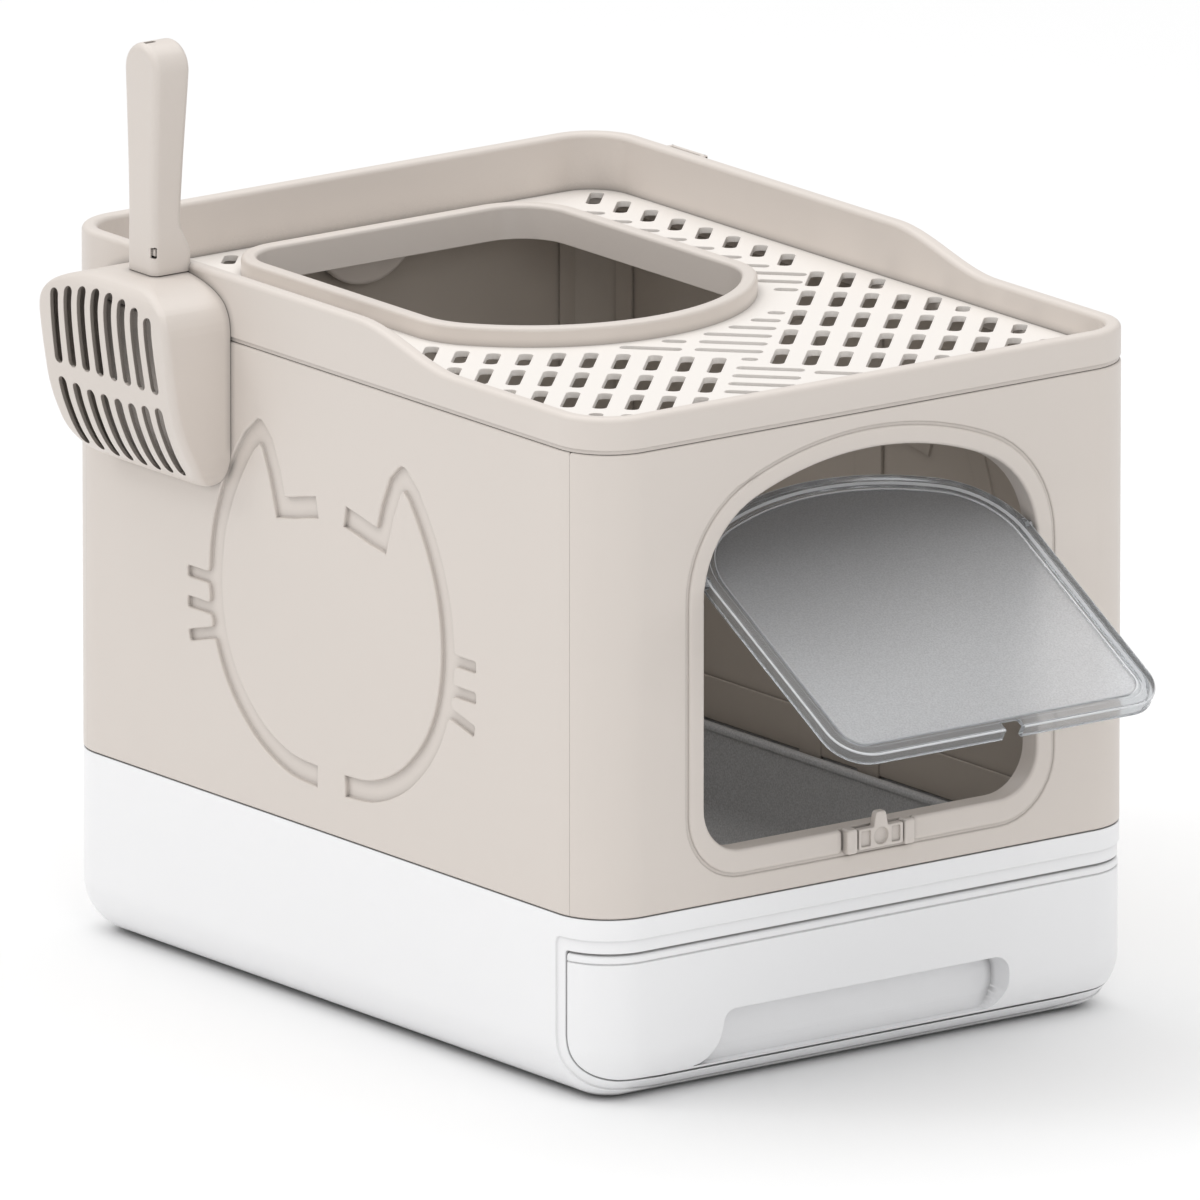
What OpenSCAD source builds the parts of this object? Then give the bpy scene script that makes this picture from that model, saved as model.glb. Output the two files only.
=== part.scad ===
// Enclosed litter box with a pull-out pan, a top opening with a perforated deck,
// a hinged see-through front flap and a scoop hung on the side.
// Millimetres, +Z up, floor at z = 0, origin under the middle of the housing.
// Front (flap, drawer) is -Y, the side with the scoop is -X.

/* [Housing] */
// Outside width of the housing
body_w = 380; // [372:1:400]
// Outside depth of the housing
body_d = 502; // [490:1:530]
// Radius of the upright corners
corner_r = 34; // [34:1:42]
// Rounding of the base's lower edges
base_round = 32; // [28:1:33]
// Height of the white base
base_h = 107; // [106:1:112]
// Height of the seam under the lid
seam_z = 371; // [370:1:376]
// Wall thickness of the panels
wall = 3; // [2.6:0.1:3.2]

/* [Lid] */
// Height of the low front rim above the seam
rim_low = 20.5; // [18:0.5:22]
// Height of the high rear rim above the seam
rim_high = 36.5; // [34:0.5:40]
// Thickness of the rim
rim_t = 9; // [8:0.5:9]
// Height of the deck's top above the seam
deck_up = 4; // [4:0.5:5]
// Height of the collar above the deck
collar_h = 11; // [8:0.5:12]
// Width of the collar's top
collar_t = 9; // [8:0.5:10]

/* [Door] */
// Half of the door opening's width
door_hw = 115; // [112:0.5:116]
// Lowest point of the door opening
door_z0 = 135.5; // [135:0.5:137]
// Highest point of the door opening
door_z1 = 350; // [348:0.5:352]
// Width of the band round the opening
band_w = 11.5; // [11:0.5:12]
// Angle at which the flap stands open at rest
flap_open = 60; // [0:1:84]
// Thickness of the flap's clear rim
flap_t = 8; // [7:0.5:8]
// Width of the flap's clear rim
flap_rim = 11; // [10:0.5:12]

/* [Drawer] */
// Lower edge of the drawer's front opening
drawer_z0 = 12; // [12:0.5:13]
// Upper edge of the drawer's front opening
drawer_z1 = 87.5; // [86:0.5:88]
// How far the drawer front wraps round the sides
drawer_wrap = 29; // [27:0.5:30]
// Height of the top of the handle recess
recess_top = 45; // [40:1:48]
// Depth of the handle recess
recess_depth = 20; // [12:0.5:24]

/* [Scoop] */
// Where the scoop hangs along the left side
scoop_y = 139.5; // [136:0.5:144]
// Width of the scoop's basket
scoop_w = 123; // [118:1:126]
// Width of the scoop's slots
scoop_slot = 7; // [6:0.5:7.5]
// Overall height of the scoop's top
scoop_top = 534; // [526:1:545]

/* [Hidden] */
$fn = 48;
W = body_w;
D = body_d;
R = corner_r;
beige = [0.86, 0.82, 0.78];
white = [0.94, 0.94, 0.95];
deck_z = seam_z + deck_up;
low_z = seam_z + rim_low;
high_z = seam_z + rim_high;
collar_z = deck_z + collar_h;
panel_z0 = base_h + 0.4;
panel_z1 = seam_z - 0.4;
seam_y = D/2 - 25;
door_y0 = -D/2 - 0.6;
door_y1 = -D/2 + 13.5;
spring_z = 280;
pivot_y = -D/2 + 6;
pivot_z = 288;
latch_x = 4;
pan_y0 = -D/2 + 38;

// ---------- outlines ----------
function arc(cx, cy, r, a0, a1, n = 8) =
    [for (i = [0:n]) let (a = a0 + (a1 - a0)*i/n) [cx + r*cos(a), cy + r*sin(a)]];

function rrect(w, d, r, n = 8) = concat(
    arc(w/2 - r, d/2 - r, r, 0, 90, n), arc(-w/2 + r, d/2 - r, r, 90, 180, n),
    arc(-w/2 + r, -d/2 + r, r, 180, 270, n), arc(w/2 - r, -d/2 + r, r, 270, 360, n));

// outline of the housing, moved in by o
function shell(o) = rrect(W - 2*o, D - 2*o, max(R - o, 2));

module ring2d(o1, o2) {
    difference() { polygon(shell(o1)); polygon(shell(o2)); }
}

// three-centred arch on straight sides with rounded lower corners
function arch(hw, z1, z0, r1, rb, n = 8) =
    let (b = z1 - spring_z,
         r2 = ((hw - r1)*(hw - r1) + b*b - r1*r1)/(2*(b - r1)),
         t = atan2(spring_z - z1 + r2, hw - r1))
    concat(arc(hw - rb, z0 + rb, rb, 270, 360, n), arc(hw - r1, spring_z, r1, 0, t, n),
           arc(0, z1 - r2, r2, t, 180 - t, 2*n),
           arc(-hw + r1, spring_z, r1, 180 - t, 180, n),
           arc(-hw + rb, z0 + rb, rb, 180, 270, n));

function door(o, low = 0) = arch(door_hw + o, door_z1 + o, door_z0 - o - low, 58.5 + o, 26 + o);
function flap(o) = arch(door_hw - 3.5 - o, door_z1 - 4 - o, door_z0 + 2 + o, 55 - o, max(22 - o, 6));

// top opening: straight sides, round rear corners, bowed front
function collar(o) =
    let (a = 112 + o, y0 = 20, b = 82 + o, r1 = 52 + o,
         r2 = ((a - r1)*(a - r1) + b*b - r1*r1)/(2*(b - r1)),
         t = atan2(b - r2, a - r1), rr = 38 + o)
    concat(arc(a - rr, 210 + o - rr, rr, 0, 90), arc(-a + rr, 210 + o - rr, rr, 90, 180),
           arc(-a + r1, y0, r1, 180, 180 - t, 6), arc(0, y0 - b + r2, r2, 180 - t, 360 + t, 16),
           arc(a - r1, y0, r1, 360 + t, 360, 6));

module along_y(y0, y1) { translate([0, y1, 0]) rotate([90, 0, 0]) linear_extrude(y1 - y0) children(); }
module along_x(x0, x1) { translate([x0, 0, 0]) rotate([90, 0, 90]) linear_extrude(x1 - x0) children(); }

// upright-walled tub whose lower edge is rounded by rb
module tub(w, d, r, rb, z0, z1, n = 8, m = 6) {
    k = 4*(n + 1);
    lev = concat([for (j = [0:m]) let (t = 90 - 90*j/m) [rb*(1 - cos(t)), z0 + rb*(1 - sin(t))]], [[0, z1]]);
    pts = [for (l = lev) for (p = rrect(w - 2*l[0], d - 2*l[0], r - l[0], n)) [p[0], p[1], l[1]]];
    q = len(lev) - 1;
    polyhedron(points = pts, faces = concat(
        [for (i = [1:k - 2]) [0, i, i + 1]],
        [for (j = [0:q - 1]) for (i = [0:k - 1]) [j*k + i, (j + 1)*k + i, (j + 1)*k + (i + 1)%k]],
        [for (j = [0:q - 1]) for (i = [0:k - 1]) [j*k + i, (j + 1)*k + (i + 1)%k, j*k + (i + 1)%k]],
        [for (i = [1:k - 2]) [q*k, q*k + i + 1, q*k + i]]));
}

// side view of the drawer's front opening, grown by g
module drawer_side(g) {
    y = -D/2 + drawer_wrap + g;
    z = drawer_z0 - g;
    polygon(concat([[-D/2 - 20, z]], arc(y - 28, z + 28, 28, -90, 0), [[y, drawer_z1 + g], [-D/2 - 20, drawer_z1 + g]]));
}

// ---------- base ----------
module base_tray() {
    color(white) {
        difference() {
            tub(W, D, R, base_round, 0, base_h);
            tub(W - 2*wall, D - 2*wall, R - wall, base_round - wall, 4, base_h + 5);
            along_x(-W, W) drawer_side(0);
            // the lip under the drawer is level between the corners
            translate([-W/2 + 28, -D/2 - 20, drawer_z0]) cube([W - 56, drawer_wrap + 17, drawer_z1 - drawer_z0]);
        }
        for (s = [-1, 1]) translate([s*120 - 6, -215, 3.5]) cube([12, 445, 9.7]);
    }
}

// ---------- body panels ----------
module wrap_panel(s) {
    // outer skin round two corners, seen from above
    linear_extrude(panel_z1 - panel_z0) intersection() {
        ring2d(0, wall);
        translate([-W, s > 0 ? seam_y + 0.3 : -D]) square([2*W, D - seam_y - 0.3]);
    }
}

module front_panel() {
    color(beige) difference() {
        translate([0, 0, panel_z0]) wrap_panel(-1);
        along_y(-D/2 - 5, -D/2 + 10) polygon(door(band_w + 0.6, 3));
    }
}

module rear_panel() {
    color(beige) union() {
        translate([0, 0, panel_z0]) wrap_panel(1);
        for (s = [-1, 1]) translate([s*162 - 6, D/2 - wall - 1.8, panel_z0]) cube([12, 2, panel_z1 - panel_z0]);
    }
}

// one half of the generic cat outline, as distances from its centre line
half = [[13, 138], [35, 139.5], [55, 146], [73, 157], [90, 174], [101, 193], [107, 214],
        [108.5, 236], [105.5, 260], [98, 282], [88, 301], [77, 317], [67, 325.5],
        [60, 319], [53, 304], [47, 288], [36, 288.5], [25, 291], [13, 293]];
function unit(v) = v/max(norm(v), 0.0001);
function side_pt(p, i, w) =
    let (a = i > 0 ? unit(p[i] - p[i - 1]) : unit(p[1] - p[0]),
         b = i < len(p) - 1 ? unit(p[i + 1] - p[i]) : a,
         m = unit(a + b), nrm = [-m[1], m[0]])
    p[i] + nrm*w/max(0.35, m*a);
function stroke(p, w) = concat([for (i = [0:len(p) - 1]) side_pt(p, i, w/2)],
                               [for (i = [len(p) - 1:-1:0]) side_pt(p, i, -w/2)]);
module whisker(z0, z1, u0, u1, t) {
    a = atan2(z1 - z0, u1 - u0);
    translate([u0, z0]) rotate(a) translate([0, -t/2]) square([norm([u1 - u0, z1 - z0]), t]);
}
module cat_half(w) {
    polygon(stroke(half, w));
    whisker(231, 231, 110, 135, w - 4);
    whisker(213.5, 213.5, 110, 135, w - 4);
    whisker(201, 194, 107, 132, w - 4);
}
module cat_outline(w) {
    translate([-6, 0]) { cat_half(w); mirror([1, 0]) cat_half(w); }
}

// left side; the right side is its mirror image
module side_panel() {
    difference() {
        union() {
            translate([0, 0, panel_z0]) linear_extrude(panel_z1 - panel_z0) intersection() {
                ring2d(0, wall);
                translate([-W, -seam_y + 0.3]) square([W, 2*seam_y - 0.6]);
            }
            // laps behind the front and rear panels
            for (s = [-1, 1]) translate([0, 0, panel_z0]) linear_extrude(panel_z1 - panel_z0) {
                intersection() {
                    ring2d(wall + 0.2, wall + 1.8);
                    translate([-W, s > 0 ? seam_y - 8 : -seam_y - 7]) square([W, 15]);
                }
                intersection() {
                    ring2d(wall - 0.1, wall + 0.3);
                    translate([-W, s > 0 ? seam_y - 8 : -seam_y + 0.3]) square([W, 7.7]);
                }
            }
            // inner rib up the middle
            translate([-W/2 + wall - 0.1, -15, panel_z0]) cube([2.1, 24, panel_z1 - panel_z0]);
            // raised inside of the outline
            intersection() {
                along_x(-W/2 + wall - 0.1, -W/2 + wall + 1.5) cat_outline(13);
                translate([-W, -seam_y + 10, panel_z0]) cube([2*W, 2*seam_y - 20, 250]);
            }
            // tongues that drop inside the base's wall
            for (y = [-180, -14, 40, 180]) translate([-W/2 + wall + 0.3, y, 82]) cube([2.2, 20, 40]);
            for (y = [-180, -14, 40, 180]) translate([-W/2 + wall - 0.1, y, panel_z0]) cube([2.6, 20, 122 - panel_z0]);
        }
        along_x(-W/2 - 2, -W/2 + 1.7) cat_outline(10.5);
    }
}
module left_panel() { color(beige) side_panel(); }
module right_panel() { color(beige) mirror([1, 0, 0]) side_panel(); }

// ---------- door ----------
module door_frame() {
    color(beige) difference() {
        union() {
            along_y(door_y0, door_y1) difference() { polygon(door(band_w, 3)); polygon(door(0)); }
            // flange behind the front panel, left off under the lid
            along_y(-D/2 + wall + 0.2, -D/2 + wall + 2.2) difference() {
                polygon(door(band_w + 7, 3));
                polygon(door(band_w - 1, 3));
                translate([-W, seam_z - 12]) square([2*W, 40]);
            }
        }
        for (s = [-1, 1]) translate([s*118, pivot_y, pivot_z]) rotate([0, 90, 0]) cylinder(h = 9, r = 2.55, center = true);
        // seat and slot of the latch
        translate([latch_x - 24, door_y0 - 1, door_z0 - 14.5]) cube([48, 4.1, 15]);
        translate([latch_x - 4.5, door_y0 - 1, door_z0 - 12]) cube([9, 20, 11.5]);
    }
}

module latch_guides() {
    color(beige) for (s = [-1, 1]) {
        translate([latch_x + s*19.8 - 3.6, -D/2 - 4.5, door_z0 - 14]) cube([7.2, 7, 14.3]);
        translate([latch_x + s*16 - 1.2, -D/2 - 1.2, door_z0 - 14]) cube([3.2, 1.6, 14.3]);
    }
}

module latch_slider() {
    color(beige) difference() {
        union() {
            translate([latch_x - 15.6, -D/2 - 4.2, door_z0 - 12.6]) cube([31.2, 2.7, 12.1]);
            translate([latch_x - 6.5, -D/2 - 5, door_z0 - 12.6]) cube([13, 5, 12.1]);
            // tab
            along_y(-D/2 - 4.8, -D/2 + 0.2) polygon([[latch_x - 5.3, door_z0 - 1], [latch_x + 5.3, door_z0 - 1],
                [latch_x + 3.6, door_z0 + 8.2], [latch_x + 2.4, door_z0 + 9], [latch_x - 2.4, door_z0 + 9], [latch_x - 3.6, door_z0 + 8.2]]);
            // stem and rear head
            translate([latch_x - 3.5, -D/2 - 0.2, door_z0 - 11.5]) cube([7, 14.2, 5]);
            translate([latch_x - 6.5, -D/2 + 13.9, door_z0 - 13.5]) cube([13, 2, 9]);
        }
        translate([latch_x, -D/2 - 5.5, door_z0 - 6.5]) rotate([-90, 0, 0]) cylinder(h = 1.8, r = 4);
        for (s = [-1, 1]) translate([latch_x + s*10.3 - 3, -D/2 - 5.5, door_z0 - 10.6]) cube([6, 2.6, 8.1]);
    }
}

module flap_pose() { translate([0, pivot_y, pivot_z]) rotate([-flap_open, 0, 0]) translate([0, -pivot_y, -pivot_z]) children(); }

module flap_frame() {
    yf = pivot_y - flap_t/2;
    color([0.75, 0.78, 0.8, 0.5]) flap_pose() {
        difference() {
            union() {
                along_y(yf, yf + flap_t) difference() { polygon(flap(0)); polygon(flap(3)); }
                along_y(yf, yf + 2.2) difference() { polygon(flap(1)); polygon(flap(flap_rim)); }
                along_y(yf + 2, yf + 6.5) difference() { polygon(flap(flap_rim - 3)); polygon(flap(flap_rim)); }
            }
            translate([latch_x - 6.5, yf - 1, door_z0]) cube([13, flap_t + 2, 10]);
            along_y(yf + 3.4, yf + 6.6) polygon(flap(flap_rim - 1.6));
        }
        for (s = [-1, 1]) translate([s*114, pivot_y, pivot_z]) rotate([0, 90, 0]) cylinder(h = 8, r = 2.5, center = true);
    }
}

module flap_window() {
    yf = pivot_y - flap_t/2;
    color([0.6, 0.6, 0.6, 0.8]) flap_pose() {
        along_y(yf + 3.5, yf + 6.5) polygon(flap(flap_rim - 1.5));
        along_y(yf + 1.4, yf + 3.6) polygon(flap(flap_rim + 0.1));
    }
}

// ---------- drawer ----------
module recess(g) {
    z = recess_top + g;
    polygon(concat([[-120 - g, -5], [-112 - g, 12], [-104 - g, 24], [-101 - g, 32]],
        arc(-91, z - 10 - g, 10 + g, 180, 90, 5), arc(87, z - 11 - g, 11 + g, 90, 0, 5), [[98 + g, 24], [92 + g, 12], [88 + g, -5]]));
}

module recess_cut() {
    difference() { recess(0); translate([-W, -20]) square([2*W, drawer_z0 + 23.2]); }
}

module drawer_front() {
    g = 0.8;
    yi = -D/2 + recess_depth;
    color(white) {
        difference() {
            intersection() {
                tub(W - 1.6, D - 1.6, R - 0.8, base_round - 0.8, 0.8, drawer_z1 - g);
                along_x(-W, W) drawer_side(-g);
            }
            intersection() {
                tub(W - 7.4, D - 7.4, R - 3.7, base_round - 3.7, 3.7, base_h);
                along_x(-W, W) translate([0, 2.6]) drawer_side(40);
            }
            along_y(-D/2 - 10, yi) recess_cut();
        }
        // walls and floor of the recess
        intersection() {
            along_y(-D/2 + 2, yi + 2.6) difference() { recess(2.6); translate([-W, 0]) square([2*W, drawer_z0 + g]); }
            tub(W - 6, D - 6, R - 3, base_round - 3, 3, base_h);
            difference() {
                translate([-W, -D, 0]) cube([2*W, D, base_h]);
                along_y(-D/2 - 10, yi) recess_cut();
            }
        }
        // flange along the top edge
        translate([0, 0, drawer_z1 - g - 2.4]) linear_extrude(2.4) intersection() {
            ring2d(2.4, 9);
            translate([-W, -D]) square([2*W, D/2 + drawer_wrap - g]);
        }
        // posts that meet the pan
        for (s = [-1, 1]) translate([s*140 - 8, -D/2 + 3.4, 46]) cube([16, pan_y0 + D/2 - 3.4, 30]);
    }
}

module drawer_pan() {
    w = W - 30;
    d = D - 56;
    z1 = drawer_z1 - 1.5;
    color([0.38, 0.38, 0.38]) translate([0, pan_y0 + d/2, 0]) union() {
        difference() {
            tub(w, d, 30, 25, 13.5, z1, 6, 5);
            tub(w - 5, d - 5, 27.5, 22.5, 16, z1 + 5, 6, 5);
        }
        translate([0, 0, z1 - 4]) linear_extrude(4) difference() { polygon(rrect(w + 7, d + 6, 33, 6)); polygon(rrect(w - 2, d - 2, 29, 6)); }
    }
}

// ---------- lid ----------
function rise(y) = let (s = min(1, max(0, (y + 118)/90))) low_z + (high_z - low_z)*s*s*(3 - 2*s);

module lid_rim() {
    color(beige) {
        difference() {
            translate([0, 0, seam_z + 0.2]) linear_extrude(rim_high - 0.2) ring2d(0, rim_t);
            along_x(-W, W) polygon(concat([[-D, low_z]], [for (i = [0:14]) let (y = -118 + 90*i/14) [y, rise(y)]], [[-26, high_z + 9], [-D, high_z + 9]]));
        }
        // ledge under the deck and skirt inside the panels, cut round the door
        difference() {
            union() {
                translate([0, 0, seam_z - 2.8]) linear_extrude(3.1) ring2d(wall + 2.3, 14);
                translate([0, 0, seam_z - 8]) linear_extrude(5.4) ring2d(wall + 2.3, wall + 4.5);
            }
            along_y(-D/2 - 5, -D/2 + 20) polygon(door(band_w + 0.8));
        }
        translate([0, 0, seam_z - 0.1]) linear_extrude(0.6) ring2d(wall + 2.3, rim_t - 1);
    }
}

// perforations: u runs along a slot
pa = [12.5, -12.8];
pb = [30.6, 32.6];
dir_b = unit(pb);
dir_a = unit(pa);
function in_collar(p, m) = abs(p[0]) < 112 + m && p[1] < 210 + m && (p[1] > 20 ? true :
    pow(abs(p[0])/(112 + m), 2.3) + pow((20 - p[1])/(82 + m), 2.3) < 1);
function free(p, m) = abs(p[0]) < W/2 - rim_t - 2 - m && abs(p[1]) < D/2 - rim_t - 2 - m && !in_collar(p, 2.5 + m);
// the free stretch of a slot with centre c along d, as [centre, length]
function stretch(c, d, L, w) =
    let (n = 12, s = [for (i = [0:n]) let (t = -L/2 + L*i/n) if (free(c + d*t, w/2)) t])
    len(s) < 4 ? [] : [c + d*(min(s) + max(s))/2, max(s) - min(s), d, w];
function slot_pts(q) = let (c = q[0], h = q[1]/2, d = q[2], w = q[3]/2, n = [-d[1], d[0]], k = 1.6)
    [c + d*h - n*(w - k), c + d*h + n*(w - k), c + d*(h - k) + n*w, c - d*(h - k) + n*w,
     c - d*h + n*(w - k), c - d*h - n*(w - k), c - d*(h - k) - n*w, c + d*(h - k) - n*w];
slots = [for (q = concat(
    [for (i = [0:9]) for (j = [-2:3]) let (c = [85, -70] + i*pa + j*pb) if (c[0] < 150 || c[1] < 8) stretch(c, dir_b, 34, 7.8)],
    [for (i = [-9:4]) for (j = [-2:1]) let (c = [-97, -112] + i*pa + j*pb) if (c[1] < 8) stretch(c, dir_b, 34, 7.8)],
    [for (k = [0:10]) stretch([9, -108] + k*[12.6, 12.7], dir_a, 37, 7.4)],
    [for (k = [0:3]) stretch([-23, -77.5] + k*[12.6, 12.7], dir_a, 35, 7.4)],
    [for (k = [0:3]) stretch([2.5, -155] - k*[12.5, 13], dir_a, 37, 7.4)],
    [stretch([31, -189], dir_a, 37, 7.4), stretch([6.5, -130.5], dir_a, 8, 7)],
    [for (s = [-1, 1]) for (k = [0:7]) stretch([s*160, 219 - 25.6*k], dir_b, 27, 7.8)],
    [for (s = [-1, 1]) for (k = [0:6]) stretch([s*132, 45 + 25.6*k], dir_a, 31, 7)],
    [for (k = [0:9]) stretch([-115 + 25.6*k, 226], dir_b, 20, 7.8)])) if (len(q) == 4 && q[1] > 7) q];

module lid_deck() {
    holes = concat([collar(-5.6)], [for (q = slots) slot_pts(q)]);
    outer = rrect(W - 2*rim_t - 0.4, D - 2*rim_t - 0.4, R - rim_t - 0.2);
    all = concat([outer], holes);
    start = [for (i = 0, t = 0; i < len(all); t = t + len(all[i]), i = i + 1) t];
    color([0.93, 0.9, 0.87]) translate([0, 0, deck_z - 3.6]) linear_extrude(3.6)
        polygon(points = [for (l = all) for (p = l) p],
                paths = [for (i = [0:len(all) - 1]) [for (k = [0:len(all[i]) - 1]) start[i] + k]]);
}

module lid_collar() {
    color(beige) {
        translate([0, 0, deck_z]) linear_extrude(collar_h) difference() { polygon(collar(0)); polygon(collar(-collar_t)); }
        translate([0, 0, seam_z - 5]) linear_extrude(deck_up + 5.2) difference() { polygon(collar(-6)); polygon(collar(-collar_t)); }
    }
}

module hanger(y0) {
    // strap on the outside of the rim, open below and above
    for (y = [-16.5, 13.5]) translate([-W/2 - 6, y0 + y, high_z - 6]) cube([6.1, 3, 5.6]);
    translate([-W/2 - 6, y0 - 16.5, high_z - 6]) cube([2.8, 33, 5.6]);
}
module scoop_hanger_left() { color(beige) difference() { hanger(scoop_y); translate([-W/2, 0, 0]) cube([20, D, 2*seam_z]); } }
module scoop_hanger_right() { color(beige) mirror([1, 0, 0]) difference() { hanger(177); translate([-W/2, 0, 0]) cube([20, D, 2*seam_z]); } }

// ---------- scoop ----------
// side view of the basket from the wall (x = 0) outwards, moved in by g
module basket_side(g) {
    polygon([[g > 0 ? 5 : 0, 32 - g], [-21, 32 - g], [-33 + g*0.3, 30.5 - g], [-40 + g*0.7, 27 - g*0.7], [-43.6 + g*0.9, 21], [-44.5 + g, 12], [-43.6 + g, -1], [-41 + g, -21],
        [-38 + g, -38], [-31.5 + g, -57], [-22.8 + g, -73 + g*0.3], [-17.5 + g*0.8, -79.5 + g*0.5], [-9.5 + g*0.5, -85 + g*0.8], [-4.5, -87 + g], [g > 0 ? 5 : 0, -87.2 + g]]);
}
// upper edge of the basket seen from the left side, as [fraction of the half width, drop]
crown = [[1, -31], [0.98, -24], [0.91, -17.5], [0.78, -11.5], [0.58, -6.6], [0.32, -2.4], [0.08, -0.3], [-0.13, 0],
    [-0.36, -0.4], [-0.58, -2.6], [-0.78, -6.8], [-0.91, -12], [-0.98, -19], [-1, -26]];
module basket_solid(g) {
    w = scoop_w/2 - g;
    intersection() {
        along_y(-w, w) basket_side(g);
        // seen along X: arched upper edge, large lower corners
        along_x(-60, 6) polygon(concat([for (q = crown) [q[0]*w, 32 - g + q[1]]],
            arc(-w + 27, -87.5 + g + 27, 27, 180, 270), arc(w - 27, -87.5 + g + 27, 27, 270, 360)));
        // seen from above: rounded outer corners
        translate([0, 0, -100]) linear_extrude(150) polygon(concat([[6, -w], [6, w]],
            arc(-44.5 + g + 9, w - 9, 9, 90, 180, 5), arc(-44.5 + g + 9, -w + 9, 9, 180, 270, 5)));
    }
}
module scoop_basket() {
    p = scoop_w/9.84;
    color(beige) translate([-W/2 - 0.4, scoop_y + 9, seam_z]) {
        difference() {
            basket_solid(0);
            basket_solid(2.4);
            for (i = [-3.5:1:3.5]) {
                translate([-75, i*p - scoop_slot/2, -28]) cube([50, scoop_slot, 50.7 - 0.55*i*i]);
                translate([-75, i*p - scoop_slot/2, -80 + 1.2*max(0, abs(i) - 1.5)]) cube([62, scoop_slot, 41.5]);
            }
            // room for the hanger as the scoop is lifted
            translate([-6.4, -27, 20]) cube([12, 36, 20]);
        }
        // tang inside the handle
        translate([-20.4, -13.5, 25]) cube([8, 9, 25]);
    }
}
// a flat piece of the handle's cross-section between x0 and x1, 2*hw wide
module slab(x0, x1, hw, z, h = 1, r = 4) {
    translate([(x0 + x1)/2, 0, z]) linear_extrude(h) offset(r = r, $fn = 24) square([x1 - x0 - 2*r, 2*(hw - r)], center = true);
}
module scoop_handle() {
    color(beige) translate([-W/2, scoop_y, 0]) {
        difference() {
            union() {
                // foot: its front part stands on the basket, its rear part starts above the hanger
                slab(-24, -6.5, 13.3, seam_z + 33.1, 20);
                hull() {
                    slab(-24, -0.7, 13.3, high_z + 0.5, 12);
                    slab(-24, -5.3, 12.7, high_z + 29);
                }
                hull() {
                    slab(-24, -5.3, 12.7, high_z + 29);
                    slab(-24, -1.8, 16, scoop_top - 18);
                    translate([-12.9, 0, scoop_top - 16]) rotate([0, 90, 0]) cylinder(h = 22.2, r = 16, center = true);
                }
                // tongue in the hanger
                translate([-2.9, -8, high_z - 4.6]) cube([2.2, 16, 8]);
            }
            // pocket for the tang and its snap window
            translate([-21.2, -4.9, seam_z + 20]) cube([8.8, 9.8, 30.4]);
            translate([-21.2, -20, seam_z + 42.7]) cube([5.2, 16, 6]);
            // hanging slot in the end
            translate([-14.2, 1, scoop_top - 12]) cube([2.4, 10, 20]);
        }
    }
}

// ---------- deodoriser on the rear panel ----------
module half_round(r, y0, y1) {
    along_y(y0, y1) intersection() {
        translate([14, seam_z + 9]) circle(r);
        translate([-50, seam_z - 80]) square([130, 70.6]);
    }
}
module deodoriser_case() {
    y = D/2 - wall;
    color(beige) difference() {
        half_round(35.6, y - 9, y);
        translate([0, 0, -2]) half_round(32, y - 10, y - 1.6);
    }
}
module deodoriser_cover() {
    y = D/2 - wall;
    color(beige) difference() {
        half_round(37, y - 12, y - 9);
        for (i = [-2:2]) translate([14 + i*9 - 1.5, y - 13, seam_z - 20]) cube([3, 6, 7]);
    }
}
module charcoal_pad() {
    y = D/2 - wall;
    color([0.2, 0.2, 0.2]) translate([0, 0, -2.4]) half_round(31, y - 8.6, y - 1.8);
}

base_tray();
front_panel();
rear_panel();
left_panel();
right_panel();
door_frame();
latch_guides();
latch_slider();
flap_frame();
flap_window();
drawer_front();
drawer_pan();
lid_rim();
lid_deck();
lid_collar();
scoop_hanger_left();
scoop_hanger_right();
scoop_basket();
scoop_handle();
deodoriser_case();
deodoriser_cover();
charcoal_pad();
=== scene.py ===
import math

import bmesh
import bpy
from mathutils import Matrix, Vector
from mathutils.geometry import tessellate_polygon


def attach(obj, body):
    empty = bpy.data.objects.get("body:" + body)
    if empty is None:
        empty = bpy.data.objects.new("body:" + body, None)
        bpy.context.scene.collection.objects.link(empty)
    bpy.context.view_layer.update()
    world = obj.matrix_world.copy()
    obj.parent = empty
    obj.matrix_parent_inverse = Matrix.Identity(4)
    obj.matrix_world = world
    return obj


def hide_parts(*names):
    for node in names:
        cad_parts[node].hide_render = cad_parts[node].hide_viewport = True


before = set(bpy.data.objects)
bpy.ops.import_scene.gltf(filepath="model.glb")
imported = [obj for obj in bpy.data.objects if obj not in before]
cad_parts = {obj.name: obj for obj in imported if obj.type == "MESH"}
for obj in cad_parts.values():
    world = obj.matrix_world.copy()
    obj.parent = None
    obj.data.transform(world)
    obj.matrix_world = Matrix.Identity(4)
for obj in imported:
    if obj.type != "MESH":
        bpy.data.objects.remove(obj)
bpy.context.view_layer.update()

# ------------------------------------------------------------------ sizes, mm
W, D, R, RB, T = 380.0, 502.0, 34.0, 32.0, 3.0
QF, QS = W / 2 - R, D / 2 - R
ARC = R * math.pi / 2
S1 = QF
S2 = S1 + ARC
S3 = S2 + 2 * QS
S4 = S3 + ARC
S5 = S4 + QF
BASE_TOP = 107.0
P0, P1 = 107.4, 370.6
SPRING = 280.0
PIVOT = (-245.0, 288.0)
STEP = 5.0
FRONT_CUTS = [g * (S1 + R * math.radians(a)) for g in (-1, 1) for a in (0, 3, 7, 12, 18, 24, 30, 36, 42, 48, 54, 60, 66, 72, 78, 83, 87, 90)]
REAR_CUTS = [g * (S3 + R * math.radians(a)) for g in (-1, 1) for a in (0, 4, 10, 20, 30, 40, 50, 60, 70, 80, 86, 90)]
FILLET_V = [RB - RB * math.radians(a) for a in (0, 4, 10, 18, 26, 34, 42, 50, 60, 70, 80)]


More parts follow.
